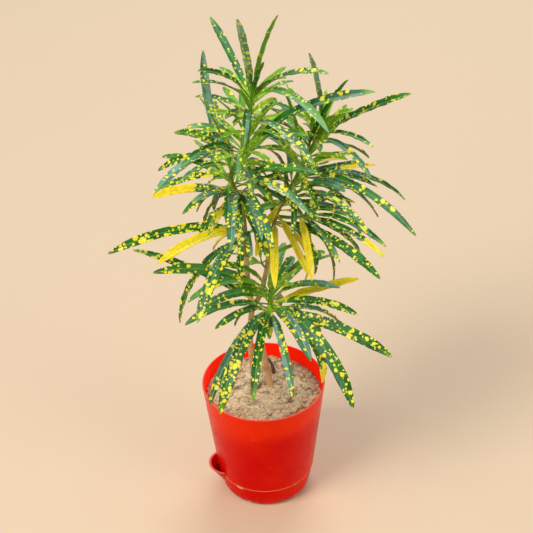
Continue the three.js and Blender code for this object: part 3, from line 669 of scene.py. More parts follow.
def draw_leaf(drawing, leaf, look, number):
    """A narrow strap folded along its midrib, with a gently waved margin, on a round stalk."""
    draw = draw_from(LEAF_SHAPE_SEED + LEAF_SHAPE_STEP * number)
    wave_size = LEAST_WAVE + abs(draw(WAVE_SCATTER))
    wave_length = WAVE_LENGTH + draw(WAVE_LENGTH_SCATTER)
    phases = [draw(math.pi), draw(math.pi)]
    fold_here = FOLD + draw(FOLD_SCATTER)
    curl = CURL + draw(CURL_SCATTER)
    spine = spine_of(leaf, FINE_SPINE_STEPS)
    rings = []
    places = []
    tones = []
    for s in LEAF_STATIONS:
        step = min(FINE_SPINE_STEPS - 1, int(s * FINE_SPINE_STEPS))
        at = mix(spine[step], spine[step + 1], s * FINE_SPINE_STEPS - step)
        along = heading(leaf, s)
        azimuth = math.radians(leaf.azimuth + leaf.sweep * s)
        level = np.array([math.sin(azimuth), -math.cos(azimuth), 0])
        side = turn_about(level, along, math.radians(leaf.roll * smooth(s / ROLLED_BY)))
        face = np.cross(side, along)
        opened = opened_at(s)
        fold = math.radians(fold_here * opened)
        half = half_width(leaf, s) if s < 1 else POINT_HALF_WIDTH
        depth = mix(STALK_DEPTH, BLADE_DEPTH, opened) / 2
        top = []
        under = []
        for t in ACROSS:
            phase = phases[0] if t < 0 else phases[1]
            wave = wave_size * half * math.sin(2 * math.pi * s * leaf.length / wave_length + phase)
            valley = math.sqrt(t * t + VALLEY_ROUNDING) - math.sqrt(VALLEY_ROUNDING)
            up = half * valley * math.sin(fold) + opened * (wave * abs(t) ** 1.5 - curl * half * t * t * 0.5)
            thin = mix(math.sqrt(max(0, 1 - STALK_ROUNDING * t * t)), 1 - EDGE_THINNING * abs(t), opened)
            rib = opened * RIB_HEIGHT * math.exp(-((t * half / RIB_HALF_WIDTH) ** 2))
            out = half * t * math.cos(fold)
            top.append(at + side * out + face * (up + depth * thin - rib * RIB_SUNK_ABOVE))
            under.append(at + side * out + face * (up - depth * thin - rib))
        rings.append(top + under[::-1])
        row = [(s * leaf.length, t * half, number * PATTERN_STEP) for t in ACROSS]
        places.append(row + row[::-1])
        yellow = look.yellow * smooth((s - look.yellow_from) / YELLOW_EDGE + 0.5)
        tone = (look.youth, yellow, look.spots)
        tones.append([(*tone, 0.0)] * len(ACROSS) + [(*tone, 1.0)] * len(ACROSS))
    drawing.skin(rings, places, tones, 0, look=(look.sheen, leaf.length, 0))


def scar_at(length, seed):
    """How swollen a stem is at a leaf scar: 0 between the scars, 1 on them."""
    drift = SCAR_DRIFT * math.sin(length * SCAR_DRIFT_RATE + seed)
    return max(0, math.sin(length * SCAR_RATE + drift)) ** SCAR_SHARPNESS


def draw_stem(drawing, stem, material, start=0.0, swelling=0.05):
    """A round stem with slightly swollen leaf scars. place is (length up it, distance round it, seed)."""
    points = stem_points(stem, FINE_STEM_STEPS)
    seed = sum(ord(letter) for letter in stem)
    centres = np.array([at for at, _ in points])
    lengths = np.concatenate([[0], np.cumsum(np.linalg.norm(np.diff(centres, axis=0), axis=1))])
    last = len(points) - 1
    rings = []
    places = []
    tones = []
    for i, (at, radius) in enumerate(points):
        along = centres[min(i + 1, last)] - centres[max(i - 1, 0)]
        along = along / np.linalg.norm(along)
        across = np.cross(np.array([0.0, 1.0, 0.0]), along)
        across = across / np.linalg.norm(across)
        up = np.cross(along, across)
        scar = scar_at(lengths[i], seed)
        ring = []
        row = []
        for k in range(FINE_STEM_SIDES):
            angle = k / FINE_STEM_SIDES * 2 * math.pi
            cos = math.cos(angle)
            sin = math.sin(angle)
            lump = noise.noise(Vector((cos * LUMP_TURN, sin * LUMP_TURN, lengths[i] * LUMP_RATE + seed)))
            wide = radius * (1 + swelling * scar + STEM_LUMP * lump)
            ring.append(at + across * cos * wide + up * sin * wide)
            row.append((lengths[i], min(angle, 2 * math.pi - angle) * radius, seed * STEM_PATTERN_STEP))
        rings.append(ring)
        places.append(row)
        tones.append([(mix(start, 1, i / last), scar, 0.0, 0.0)] * FINE_STEM_SIDES)
    drawing.skin(rings, places, tones, material)


# Materials


class Value:
    """A number, vector or colour that a shader works out. Reckoning with it adds a node."""

    def __init__(self, nodes, socket):
        self.nodes = nodes
        self.socket = socket

    def __add__(self, other):
        return self.nodes.math("ADD", self, other)

    def __sub__(self, other):
        return self.nodes.math("SUBTRACT", self, other)

    def __rsub__(self, other):
        return self.nodes.math("SUBTRACT", other, self)

    def __mul__(self, other):
        return self.nodes.math("MULTIPLY", self, other)

    def __abs__(self):
        return self.nodes.math("ABSOLUTE", self)


class Nodes:
    """Short calls that add shader nodes to one material."""

    def __init__(self, name):
        self.material = bpy.data.materials.new(name)
        self.material.use_nodes = True
        self.tree = self.material.node_tree
        self.shader = self.tree.nodes["Principled BSDF"]

    def join(self, source, socket):
        """Links a Value to a socket, or sets the socket to a number, vector or colour."""
        if isinstance(source, Value):
            self.tree.links.new(source.socket, socket)
        elif socket.type == "RGBA":
            socket.default_value = (*source, 1.0)
        else:
            socket.default_value = source

    def set(self, **values):
        """Sets or joins inputs of the material's own shader."""
        for name, value in values.items():
            self.join(value, self.shader.inputs[name.replace("_", " ")])

    def new(self, kind, inputs, **settings):
        node = self.tree.nodes.new(kind)
        for key, value in settings.items():
            setattr(node, key, value)
        for key, source in inputs.items():
            self.join(source, node.inputs[key])
        return node

    def value(self, kind, inputs, output=0, **settings):
        """One output of a new node."""
        return Value(self, self.new(kind, inputs, **settings).outputs[output])

    def math(self, operation, a, b=0.5, clamp=False):
        return self.value("ShaderNodeMath", {0: a, 1: b}, operation=operation, use_clamp=clamp)

    def larger(self, a, b):
        return self.math("MAXIMUM", a, b)

    def vector_math(self, operation, *sources, output="Vector"):
        return self.value("ShaderNodeVectorMath", dict(enumerate(sources)), output, operation=operation)

    def scaled(self, vector, factors):
        return self.vector_math("MULTIPLY", vector, factors)

    def ramp(self, value, low, high, to_low=0.0, to_high=1.0):
        inputs = {0: value, 1: low, 2: high, 3: to_low, 4: to_high}
        return self.value("ShaderNodeMapRange", inputs, interpolation_type="SMOOTHSTEP")

    def blend(self, share, a, b):
        return self.value("ShaderNodeMix", {0: share, 6: a, 7: b}, 2, data_type="RGBA")

    def split(self, vector):
        node = self.new("ShaderNodeSeparateXYZ", {0: vector})
        return [Value(self, output) for output in node.outputs]

    def noise(self, vector, scale, detail=3.0, roughness=0.55, output="Fac"):
        inputs = {"Vector": vector, "Scale": scale, "Detail": detail, "Roughness": roughness}
        return self.value("ShaderNodeTexNoise", inputs, output)

    def by_leaf(self, number, row, scale):
        """A random number that stays the same all over a leaf."""
        return self.noise(self.value("ShaderNodeCombineXYZ", {0: number, 1: row}), scale, 0)

    def cells(self, vector, scale):
        """The distance to the middle of the nearest cell, and the cell's own random colour."""
        node = self.new("ShaderNodeTexVoronoi", {"Vector": vector, "Scale": scale})
        return Value(self, node.outputs["Distance"]), Value(self, node.outputs["Color"])

    def dots(self, vector, scale, density, smallest, largest):
        """Round dots, one to a cell at most: density is the share of cells that have one."""
        distance, random = self.cells(vector, scale)
        chance, size, _ = self.split(random)
        radius = self.ramp(size, 0.0, 1.0, smallest, largest) * self.ramp(density - chance, 0.0, 0.06)
        return self.ramp(radius - distance, -0.02, 0.05)

    def attribute(self, name, output):
        return self.value("ShaderNodeAttribute", {}, output, attribute_name=name)

    def position(self):
        """Where the point is on the object, in millimetres."""
        return self.scaled(self.value("ShaderNodeTexCoord", {}, "Object"), (1 / MM, 1 / MM, 1 / MM))

    def bump(self, height, strength, distance):
        inputs = {"Strength": strength, "Distance": distance * MM, "Height": height}
        return self.value("ShaderNodeBump", inputs)


# Leaf colours. A pair is blended in patches.
OLD_GREEN = (0.001, 0.058, 0.003), (0.008, 0.17, 0.004)
FRESH_GREEN = (0.045, 0.26, 0.004), (0.19, 0.48, 0.008)
GRAIN_GREEN = (0.03, 0.22, 0.02)
STALK_LIME = (0.3, 0.6, 0.015)
TIP_LIME = (0.26, 0.5, 0.02)
PAINTED_SHEEN_GREY = (0.24, 0.44, 0.39)
DOT_YELLOW = (0.93, 0.74, 0.008), (0.98, 0.93, 0.08)
TURNED_GOLD = (0.88, 0.54, 0.002), (0.96, 0.8, 0.012)
YOUNG_DOT = (0.5, 0.66, 0.03)
MIDRIB_GREEN = (0.3, 0.5, 0.05)
VEIN_GREEN = (0.25, 0.42, 0.08)
UNDERSIDE_GREEN = (0.13, 0.3, 0.05)


def leaf_material():
    """Leaf skin. place is (length along, distance across, leaf's own number), tone is (youth, how far it has
    turned yellow, how spotted it is, underside), look is (how strong its painted grey sheen is, its whole
    length)."""
    n = Nodes("croton_leaf")
    sheen, whole, _ = n.split(n.attribute("look", "Vector"))
    place = n.attribute("place", "Vector")
    distance, across, number = n.split(place)
    youth, yellow, spots = n.split(n.attribute("tone", "Color"))
    underside = n.attribute("tone", "Alpha")

    # The green: dark on old leaves, lime on the youngest and on the stalks
    patches = n.noise(place, 0.06, 2)
    grain = n.noise(place, 0.9, 3)
    in_patches = n.ramp(patches, 0.35, 0.65)
    old = n.blend(in_patches, *OLD_GREEN)
    green = n.blend(n.ramp(youth, 0.35, 0.98), old, n.blend(in_patches, *FRESH_GREEN))
    green = n.blend(grain * 0.3, green, GRAIN_GREEN)
    lime_end = n.ramp(youth, 0.3, 1.0, 24.0, 64.0)
    green = n.blend(n.ramp(distance, lime_end, lime_end * 0.3, 0.0, 0.92), green, STALK_LIME)

    # Painted sheen: a grey-blue reflection of the sky painted on what faces it, more on some leaves than on
    # others
    normal = n.value("ShaderNodeNewGeometry", {}, "Normal")
    facing = n.vector_math("DOT_PRODUCT", normal, SKYWARD, output="Value")
    painted_sheen = n.ramp(facing, 0.66, 0.97) * sheen
    painted_sheen = painted_sheen * n.ramp(n.noise(place, 0.11, 3), 0.3, 0.6, 0.35, 1.0)
    painted_sheen = painted_sheen * n.ramp(distance, lime_end * 0.5, lime_end)

    # A folded blade gets less painted sheen on one half, but some leaves get it all over
    side = n.ramp(n.by_leaf(number, 7.0, 0.41), 0.49, 0.51, -1.0, 1.0)
    painted_sheen = painted_sheen * n.ramp(across * side, -0.5, 0.5, 0.35, 1.0)
    everywhere = n.ramp(sheen, 1.0, 1.5) * n.ramp(patches, 0.35, 0.6, 0.3, 0.85)
    painted_sheen = n.larger(painted_sheen, everywhere * n.ramp(distance, 14.0, 50.0))
    green = n.blend(n.math("MULTIPLY", painted_sheen, 0.85, clamp=True), green, PAINTED_SHEEN_GREY)

    # Some tips are as fresh as the stalk
    fresh_tip = n.ramp(n.by_leaf(number, 3.0, 0.37), 0.45, 0.6)
    green = n.blend(fresh_tip * n.ramp(whole - distance, 16.0, 2.0, 0.0, 0.6), green, TIP_LIME)

    # Yellow dots of two sizes, crowded in places
    wander = n.noise(place, 0.42, 2, 0.5, "Color")
    shifted = n.vector_math("MULTIPLY_ADD", wander, (2.6, 2.6, 0), place)
    crowd = n.ramp(n.noise(n.scaled(place, (1, 0.5, 1)), 0.045, 2, 0.5), 0.38, 0.64)
    dense = (crowd * 0.85 + 0.4) * spots
    small = n.dots(shifted, 0.3, dense, 0.22, 0.54)
    large = n.dots(shifted, 0.16, dense - 0.06, 0.16, 0.48)
    blotches = n.dots(shifted, 0.115, n.ramp(spots, 0.78, 1.0) * (crowd + 0.2), 0.2, 0.46)
    spotted = n.larger(n.larger(small, large), blotches)

    # A leaf that has turned: yellow with green flecks left
    flecks = n.noise(n.scaled(place, (0.6, 1.2, 1)), 0.3, 3, 0.6)
    turned = n.ramp(yellow * 0.95 + flecks * 0.5, 0.62, 0.68) * n.ramp(yellow, 0.05, 0.3)
    golden = n.larger(spotted, turned)
    pale = n.blend(n.ramp(n.noise(place, 0.12, 2), 0.35, 0.65), *DOT_YELLOW)
    pale = n.blend(turned, pale, n.blend(n.ramp(flecks, 0.35, 0.6), *TURNED_GOLD))
    pale = n.blend(n.ramp(youth, 0.7, 1.1, 0.0, 0.2), pale, YOUNG_DOT)
    colour = n.blend(golden * n.ramp(underside, 0, 1, 1.0, 0.7), green, pale)

    # Midrib and side veins
    aside = abs(across)
    colour = n.blend(n.ramp(aside, 0.6, 0.2, 0.0, 0.5), colour, MIDRIB_GREEN)
    veins = n.ramp(n.math("SINE", (distance - aside * 1.1) * 2.3), 0.8, 1.0)
    colour = n.blend(veins * 0.1, colour, VEIN_GREEN)
    below = underside * n.ramp(n.larger(golden, painted_sheen), 0.0, 1.0, 0.45, 0.1)
    colour = n.blend(below, colour, UNDERSIDE_GREEN)
    height = veins * -0.35 + grain * 0.5 + spotted * 0.15
    n.set(Base_Color=colour, Roughness=n.ramp(grain, 0.2, 0.8, 0.32, 0.46))
    n.set(Normal=n.bump(height, 0.35, 0.25), IOR=1.5, Specular_IOR_Level=0.36)
    return n.material


# Colours of stem skin: the green of a ripening stem is a pair, blended in streaks
STEM_GREEN = (0.1, 0.26, 0.015), (0.24, 0.48, 0.03)
PALE_DOT = (0.42, 0.33, 0.2)
SCAR_BROWN = (0.13, 0.075, 0.03)


def bark_material(name, low, high, speck, green_top=False):
    """Stem skin. place is (length up, distance round, seed), tone is (share of the way up, leaf scar)."""
    n = Nodes(name)
    place = n.attribute("place", "Vector")
    share, scar, _ = n.split(n.attribute("tone", "Color"))
    streaks = n.noise(n.scaled(place, (0.35, 1.6, 1)), 0.8, 4, 0.65)
    patches = n.noise(place, 0.09, 3)
    colour = n.blend(n.ramp(patches, 0.45, 0.75), n.blend(streaks, low, high), speck)
    if green_top:
        ripening = n.ramp(share + (patches - 0.5) * 0.5, 0.05, 0.55)
        colour = n.blend(ripening, colour, n.blend(streaks, *STEM_GREEN))
    dots = n.ramp(n.cells(n.scaled(place, (0.6, 1, 1)), 0.75)[0], 0.22, 0.12)
    colour = n.blend(dots * 0.5, colour, PALE_DOT)
    scar = n.ramp(scar, 0.25, 0.9, 0.0, 0.5) * n.ramp(patches, 0.35, 0.55)
    colour = n.blend(scar, colour, SCAR_BROWN)
    height = streaks + n.noise(place, 2.2, 3) * 0.5 + dots * 0.4
    n.set(Base_Color=colour, Roughness=n.ramp(streaks, 0.2, 0.8, 0.62, 0.85))
    n.set(Normal=n.bump(height, 0.7, 0.5), IOR=1.45, Specular_IOR_Level=0.35)
    return n.material


# Colours of the plastic and of what is on it. The red is a pair, blended towards the top as painted light and
# in clouds.
PLASTIC_RED = (0.7, 0.001, 0.0005), (0.93, 0.026, 0.0006)
RIM_HIGHLIGHT_PINK = (0.9, 0.23, 0.16)
SEAM_HIGHLIGHT_ORANGE = (1.0, 0.34, 0.14)
SCRATCH_PINK = (0.9, 0.25, 0.1)
SCUFF_PINK = (0.86, 0.3, 0.12)
INSIDE_LIGHT_RED = (1.0, 0.012, 0.002)
INSIDE_GLOW = (0.0, 0.0, 0.0), (1.0, 0.02, 0.002)
DUST_BROWN = (0.5, 0.36, 0.22)
CHIP_TAN = (0.62, 0.45, 0.25)
DIRT_BROWN = (0.42, 0.3, 0.17)

# Where the plastic is chipped, in millimetres, and the chip's size. Chips are wider than they are high.
CHIPS = (((-29, -43, 25), 3.2), ((-19.5, -45, 4), 2.6), ((31, -41, 26.6), 1.8), ((-39, 52, 138), 2.6))
CHIP_SHAPE = (0.7, 0.7, 1.4)

# The bore of the pot, a little outside its inner face: radius where the cone meets the ground, and its slope
BORE_RADIUS = 47.9
BORE_SLOPE = 0.117


def plastic_material():
    """Glossy red plastic with painted highlights on its edges and seam, painted light towards the top and on
    the inner wall, fine upright scratches, a few scuffs and dusty lower parts.
    """
    n = Nodes("red_plastic_gloss")
    at = n.position()
    x, y, z = n.split(at)
    radius = n.math("POWER", x * x + y * y, 0.5)
    # Painted light: the red turns a brighter orange-red towards the top, and random clouds of tone vary it
    top_light_and_clouds = n.ramp(z, 92.0, 132.0, 0.0, 0.55) + n.noise(at, 0.018, 2) * 0.9
    colour = n.blend(n.ramp(top_light_and_clouds, 0.3, 1.0), *PLASTIC_RED)

    # Painted highlights: a pink line on the rim and on the cup's top edge, and an orange line along the seam
    cup_top = CUP_TOP["height"]
    near_cup = n.ramp(z, cup_top - 0.9, cup_top - 0.1) * n.ramp(z, cup_top + 1.0, cup_top + 0.3)
    beyond = n.ramp(radius, SEAM_RADIUS + 1.6, SEAM_RADIUS + 1.9)
    edge_highlight = n.larger(n.ramp(z, POT_HEIGHT - 1.3, POT_HEIGHT - 0.2), near_cup * beyond)
    colour = n.blend(edge_highlight * 0.55, colour, RIM_HIGHLIGHT_PINK)
    # Painted highlight along the seam, on the pot's wall only
    seam_highlight = n.ramp(abs(z - (SEAM_HEIGHT - 0.4)), 0.8, 0.3) * (1.0 - beyond)
    colour = n.blend(seam_highlight * 0.9, colour, SEAM_HIGHLIGHT_ORANGE)

    # Scratches and scuffs
    scratches = n.ramp(n.noise(n.scaled(at, (1, 1, 0.09)), 1.3, 2, 0.7), 0.66, 0.74)
    scratches = scratches * n.ramp(n.noise(at, 0.05, 3), 0.52, 0.72)
    scuffs = n.ramp(n.noise(at, 0.16, 4, 0.65), 0.69, 0.76) * n.ramp(z, 80.0, 20.0)
    colour = n.blend(scratches * 0.25, colour, SCRATCH_PINK)
    colour = n.blend(scuffs * 0.55, colour, SCUFF_PINK)

    # Dust: a little everywhere, more at the foot and under the rim inside. The inner wall also gets painted
    # light.
    bore = n.ramp(radius - z * BORE_SLOPE, BORE_RADIUS, BORE_RADIUS - 0.5)
    inside = n.ramp(z, SOIL_HEIGHT + 7.0, SOIL_HEIGHT - 1.0) * n.ramp(z, 100.0, 110.0) * bore
    # Painted light: the inner wall above the middle is a brighter red, as if lit through the thin wall
    painted_inner_light = bore * n.ramp(z, 60.0, 80.0)
    colour = n.blend(painted_inner_light, colour, INSIDE_LIGHT_RED)
    cover = n.ramp(z, 14.0, 0.0) * 0.22 + inside * 0.12
    dusty = n.ramp(n.noise(at, 0.45, 5, 0.7) + cover, 0.66, 0.86, 0.0, 0.7)
    colour = n.blend(dusty, colour, DUST_BROWN)

    # Chips on the seam, the foot and the rim
    ragged = (n.noise(at, 0.3, 2) - 0.5) * 5.0
    for chip, size in CHIPS:
        middle = [share * c for share, c in zip(CHIP_SHAPE, chip)]
        apart = n.vector_math("DISTANCE", n.scaled(at, CHIP_SHAPE), middle, output="Value")
        colour = n.blend(n.ramp(apart + ragged, size, size - 0.5), colour, CHIP_TAN)
    flecks = n.ramp(n.cells(at, 0.07)[0], 0.085, 0.06) * n.ramp(n.noise(at, 0.4, 3), 0.5, 0.56)
    colour = n.blend(flecks * 0.8, colour, DIRT_BROWN)
    rough = n.ramp(n.noise(at, 0.09, 3), 0.3, 0.7, 0.2, 0.3) + n.larger(dusty, scratches) * 0.35
    height = n.noise(at, 0.03, 2) * 1.2 - scratches * 0.12
    n.set(Base_Color=colour, Roughness=rough, Normal=n.bump(height, 0.35, 1.0))
    n.set(IOR=1.5, Specular_IOR_Level=0.045, Specular_Tint=(1.0, 0.4, 0.2))

    # The thin wall glows a little inside, as light comes through it
    n.set(Emission_Color=n.blend(painted_inner_light, *INSIDE_GLOW), Emission_Strength=0.32)
    return n.material


# Colours of the soil. A pair is blended by the grains.
SAND = (0.33, 0.21, 0.1), (0.88, 0.66, 0.4)
CRUMB = (0.38, 0.27, 0.15), (0.82, 0.66, 0.45)
DRY_PATCH = (0.92, 0.71, 0.43)
DAMP_PATCH = (0.19, 0.125, 0.065)
PALE_GRAIN = (0.72, 0.62, 0.46)
DARK_GRAIN = (0.12, 0.07, 0.035)
HOLLOW_BROWN = (0.13, 0.07, 0.03)


def soil_material():
    """Dry sandy soil: grains of several sizes, darker in the hollows. tone is (hollow, crumb)."""
    n = Nodes("dry_sandy_soil")
    at = n.position()
    hollow, crumb, _ = n.split(n.attribute("tone", "Color"))
    grains = n.noise(at, 0.55, 5, 0.7)
    to_grain, random = n.cells(at, 1.1)
    tint = n.split(random)[0]
    colour = n.blend(n.ramp(grains, 0.3, 0.7), *SAND)
    colour = n.blend(n.ramp(n.noise(at, 0.035, 3, 0.6), 0.38, 0.6, 0.0, 0.65), colour, DRY_PATCH)
    colour = n.blend(n.ramp(n.noise(at, 0.075, 4, 0.65), 0.5, 0.62, 0.0, 0.65), colour, DAMP_PATCH)
    colour = n.blend(n.ramp(tint, 0.78, 0.95, 0.0, 0.6), colour, PALE_GRAIN)
    colour = n.blend(n.ramp(tint, 0.2, 0.03, 0.0, 0.6), colour, DARK_GRAIN)
    colour = n.blend(hollow * 0.85, colour, HOLLOW_BROWN)
    colour = n.blend(crumb * 0.6, colour, n.blend(grains, *CRUMB))
    height = grains + to_grain * -0.5
    n.set(Base_Color=colour, Roughness=0.95, Normal=n.bump(height, 0.8, 0.9), Specular_IOR_Level=0.15)
    return n.material


LEAF = leaf_material()
GREEN_STEM = bark_material("green_stem", (0.26, 0.16, 0.05), (0.44, 0.3, 0.11), (0.26, 0.24, 0.06), True)
BARK = bark_material("tan_bark", (0.42, 0.22, 0.08), (0.86, 0.62, 0.32), (0.54, 0.27, 0.09))
DEAD_BARK = bark_material("dead_bark_skin", (0.06, 0.028, 0.012), (0.2, 0.1, 0.045), (0.12, 0.06, 0.03))
PLASTIC = plastic_material()
SOIL = soil_material()


def make_part(piece, slot, *nodes):
    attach(piece, "root")
    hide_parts(*nodes)
    return piece


# Plant pieces

# Leaves with more yellow than their age gives, by their tip in the viewer's picture, across and down: how far
# each has turned, how spotted it is, and from which share of its length it has turned
YELLOWER = {
    (158, 264): (0.85, 0.8, 0.15), (213, 250): (0.95, 0.5, 0.1), (334, 258): (0.75, 1, 0.1),
    (275, 288): (0.75, 0.7, 0), (302, 287): (0.8, 0.6, 0), (359, 279): (0.95, 0.6, 0),
    (312, 281): (0.7, 0.7, 0), (348, 160): (0.7, 0.6, 0), (152, 198): (0.8, 0.8, 0.45),
    (108, 254): (0.3, 1, 0.7), (197, 323): (0.25, 1, 0), (133, 250): (0.3, 1, 0),
    (220, 414): (0, 0.95, 0), (210, 405): (0, 0.85, 0), (392, 357): (0, 0.9, 0), (322, 383): (0.8, 1, 0.85),
    (375, 165): (0.85, 0.8, 0.6), (384, 257): (0.85, 0.9, 0.75), (180, 323): (0, 0.95, 0),
    (358, 315): (0, 0.8, 0), (371, 238): (0.2, 0.95, 0), (213, 99): (0, 0.9, 0), (203, 50): (0, 0.7, 0),
    (329, 74): (0, 0.8, 0), (285, 194): (0, 0.8, 0), (309, 214): (0, 0.85, 0), (262, 240): (0.2, 0.9, 0),
    (237, 19): (0, 0.8, 0), (278, 15): (0, 0.7, 0), (210, 17): (0, 0.7, 0), (309, 53): (0, 0.6, 0),
    (273, 250): (0.2, 1, 0), (315, 167): (0, 0.75, 0), (158, 171): (0.2, 0.85, 0), (205, 227): (0.2, 0.9, 0),
}

# Leaves with the strongest painted grey sheen, by their tip too
GREYER = {
    (152, 198), (315, 167), (329, 133), (231, 251), (285, 194), (345, 192), (186, 129), (213, 99), (203, 50),
    (411, 94), (329, 74), (309, 214), (192, 203), (262, 240), (311, 361), (293, 398), (153, 195), (405, 200),
    (364, 163), (340, 288), (375, 92), (348, 80), (286, 78), (378, 217), (371, 178),
}
GREY_BOTH_SIDES = {(237, 19), (203, 50), (309, 53)}

# Young leaves that are as dark as old ones
DULLER = {
    (203, 50), (213, 99), (315, 167), (329, 74), (264, 62), (225, 119), (198, 71), (192, 83), (237, 19),
    (309, 53), (375, 92), (348, 80), (286, 78), (210, 17),
}
DULL_YOUTH = 0.3
SHOOT_YOUTH = 0.9
SHOOT_SPOTS = 0.15
LOOK_SEED = 4001
LOOK_STEP = 211

# How a leaf's look follows from its age, where neither table says otherwise
YOUNG_SPOTS = 0.56
MORE_OLD_SPOTS = 0.28
MORE_INNER_SPOTS = 0.25
LEAST_SPOTS = 0.2
OLD_INNER_YELLOW = 0.36
YELLOW_LOST_WITH_YOUTH = 1.2
PLAIN_SHEEN = 0.2
FULL_SHEEN = 1.0
SHEEN_ON_BOTH_SIDES = 1.5
LOOK_SCATTER = {"spots": 0.25, "yellow": 0.4, "sheen": 0.45}

# Branches that are green nearly from their foot, and how far up a ripening stem their foot would be
GREEN_BRANCHES = ("rightFront", "rightMiddle", "youngGreen")
GREEN_FOOT = 0.35


# How green a leaf is, how far it has turned yellow and from where, how spotted it is, and its painted sheen
Look = namedtuple("Look", "youth yellow spots yellow_from sheen")


def look_of(leaf, number):
    """Old leaves have more spots than young ones, and inner ones are yellower."""
    draw = draw_from(LOOK_SEED + LOOK_STEP * number)
    spots = YOUNG_SPOTS + MORE_OLD_SPOTS * (1 - leaf.youth) + draw(LOOK_SCATTER["spots"])
    spots = min(1, max(LEAST_SPOTS, spots))
    yellow = 0.0
    if leaf.tip == "inner":
        yellow = max(0, OLD_INNER_YELLOW + draw(LOOK_SCATTER["yellow"]) - YELLOW_LOST_WITH_YOUTH * leaf.youth)
        spots = min(1, spots + MORE_INNER_SPOTS)
    yellow, spots, yellow_from = YELLOWER.get(leaf.tip, (yellow, spots, 0.0))
    sheen = FULL_SHEEN if leaf.tip in GREYER else max(0, PLAIN_SHEEN + draw(LOOK_SCATTER["sheen"]))
    if leaf.tip in GREY_BOTH_SIDES:
        sheen = SHEEN_ON_BOTH_SIDES
    return Look(DULL_YOUTH if leaf.tip in DULLER else leaf.youth, yellow, spots, yellow_from, sheen)


leaves_of = grow_plant()
add_inner_leaves(leaves_of)
leaf_number = 0
for node, stems in GREEN_STEMS.items():
    drawing = Drawing()
    for stem in stems:
        draw_stem(drawing, stem, 1, start=GREEN_FOOT if stem in GREEN_BRANCHES else 0.0)
    for leaf in leaves_of[node]:
        leaf_number += 1
        look = look_of(leaf, leaf_number)
        if node == "young_shoot":
            look = look._replace(youth=SHOOT_YOUTH, spots=SHOOT_SPOTS)
        draw_leaf(drawing, leaf, look, leaf_number)
    piece = drawing.finish(node.replace("_stem", "").replace("_shoot", "") + "_foliage", [LEAF, GREEN_STEM])
    make_part(piece, "young_leaf" if node == "young_shoot" else "leaf", node)

for name, stems, material, slot, node in (
    ("main_wood", ("mainWood", "branchWood"), BARK, "bark", "main_stem"),
    ("second_wood", ("secondWood",), BARK, "bark", "second_stem"),
    ("dead_wood", ("deadWood",), DEAD_BARK, "dead_bark", "dead_stub"),
):
    drawing = Drawing()
    for stem in stems:
        draw_stem(drawing, stem, 0, swelling=0.07)
    make_part(drawing.finish(name, [material]), slot, node)


# Pot and tray

wall_slope = (RIM_RADIUS - SEAM_RADIUS) / (POT_HEIGHT - SEAM_HEIGHT)
tray_slope = (SEAM_RADIUS - GAP - TRAY_HEEL_RADIUS) / (SEAM_HEIGHT - GAP - TRAY_HEEL_HEIGHT)


def inner_radius_at(height):
    return SEAM_RADIUS - POT_WALL + wall_slope * (height - SEAM_HEIGHT)


def tray_inner_radius_at(height):
    return TRAY_HEEL_RADIUS - POT_WALL + tray_slope * (height - TRAY_HEEL_HEIGHT)


def shoulder_profile(clear):
    return [
        (inner_radius_at(SHOULDER_HEIGHT) - clear, SHOULDER_HEIGHT),
        (inner_radius_at(SEAM_HEIGHT) - SHOULDER_INSET - clear, SEAM_HEIGHT),
        (tray_inner_radius_at(FLOOR_HEIGHT) - SHOULDER_INSET - clear, FLOOR_TOP),
    ]


def circle(radius, height, sides, x=0, y=0):
    """Points on a level circle."""
    turns = [k / sides * 2 * math.pi for k in range(sides)]
    return [(x + radius * math.cos(a), y + radius * math.sin(a), height) for a in turns]


def solid(name, points, faces):
    mesh = bpy.data.meshes.new(name)
    mesh.from_pydata([tuple(c * MM for c in p) for p in points], [], faces)
    made = bmesh.new()
    made.from_mesh(mesh)
    bmesh.ops.remove_doubles(made, verts=made.verts, dist=WELD_DISTANCE)
    bmesh.ops.recalc_face_normals(made, faces=made.faces)
    made.to_mesh(mesh)
    made.free()
    return add_object(name, mesh)


def turned(name, profile):
    """A solid of revolution about Z from (radius, height) points."""
    points = []
    faces = []
    sides = TURNED_SIDES
    for radius, height in profile:
        points += circle(radius, height, sides)
    for row in range(len(profile) - 1):
        for k in range(sides):
            a = row * sides + k
            b = row * sides + (k + 1) % sides
            corners = [a, b, b + sides, a + sides]
            if profile[row][0] == 0:
                corners = [a, b + sides, a + sides]
            if profile[row + 1][0] == 0:
                corners = [a, b, a + sides]
            faces.append(corners)
    return solid(name, points, faces)


def prism(name, lower, upper):
    """A solid between two rings with as many points."""
    sides = len(lower)
    faces = [list(reversed(range(sides))), list(range(sides, 2 * sides))]
    faces += [[k, (k + 1) % sides, (k + 1) % sides + sides, k + sides] for k in range(sides)]
    return solid(name, lower + upper, faces)


def rounded(profile, corner, size):
    """The profile with one corner rounded."""
    at = Vector(profile[corner])
    before = (Vector(profile[corner - 1]) - at).normalized() * size
    after = (Vector(profile[corner + 1]) - at).normalized() * size
    arc = []
    for i in range(CORNER_STEPS + 1):
        t = i / CORNER_STEPS
        bend = (at + before) * (1 - t) ** 2 + at * 2 * t * (1 - t) + (at + after) * t**2
        arc.append(tuple(bend))
    return profile[:corner] + arc + profile[corner + 1:]


def cut(piece, operation, others):
    """Joins to the piece, or cuts from it, each of the others in turn."""
    for other in others:
        modifier = piece.modifiers.new("cut", "BOOLEAN")
        modifier.operation = operation
        modifier.object = other
        modifier.solver = "EXACT"
        shaped = bpy.data.meshes.new_from_object(
            piece.evaluated_get(bpy.context.evaluated_depsgraph_get())
        )
        piece.modifiers.clear()
        piece.data = shaped
        bpy.data.objects.remove(other)


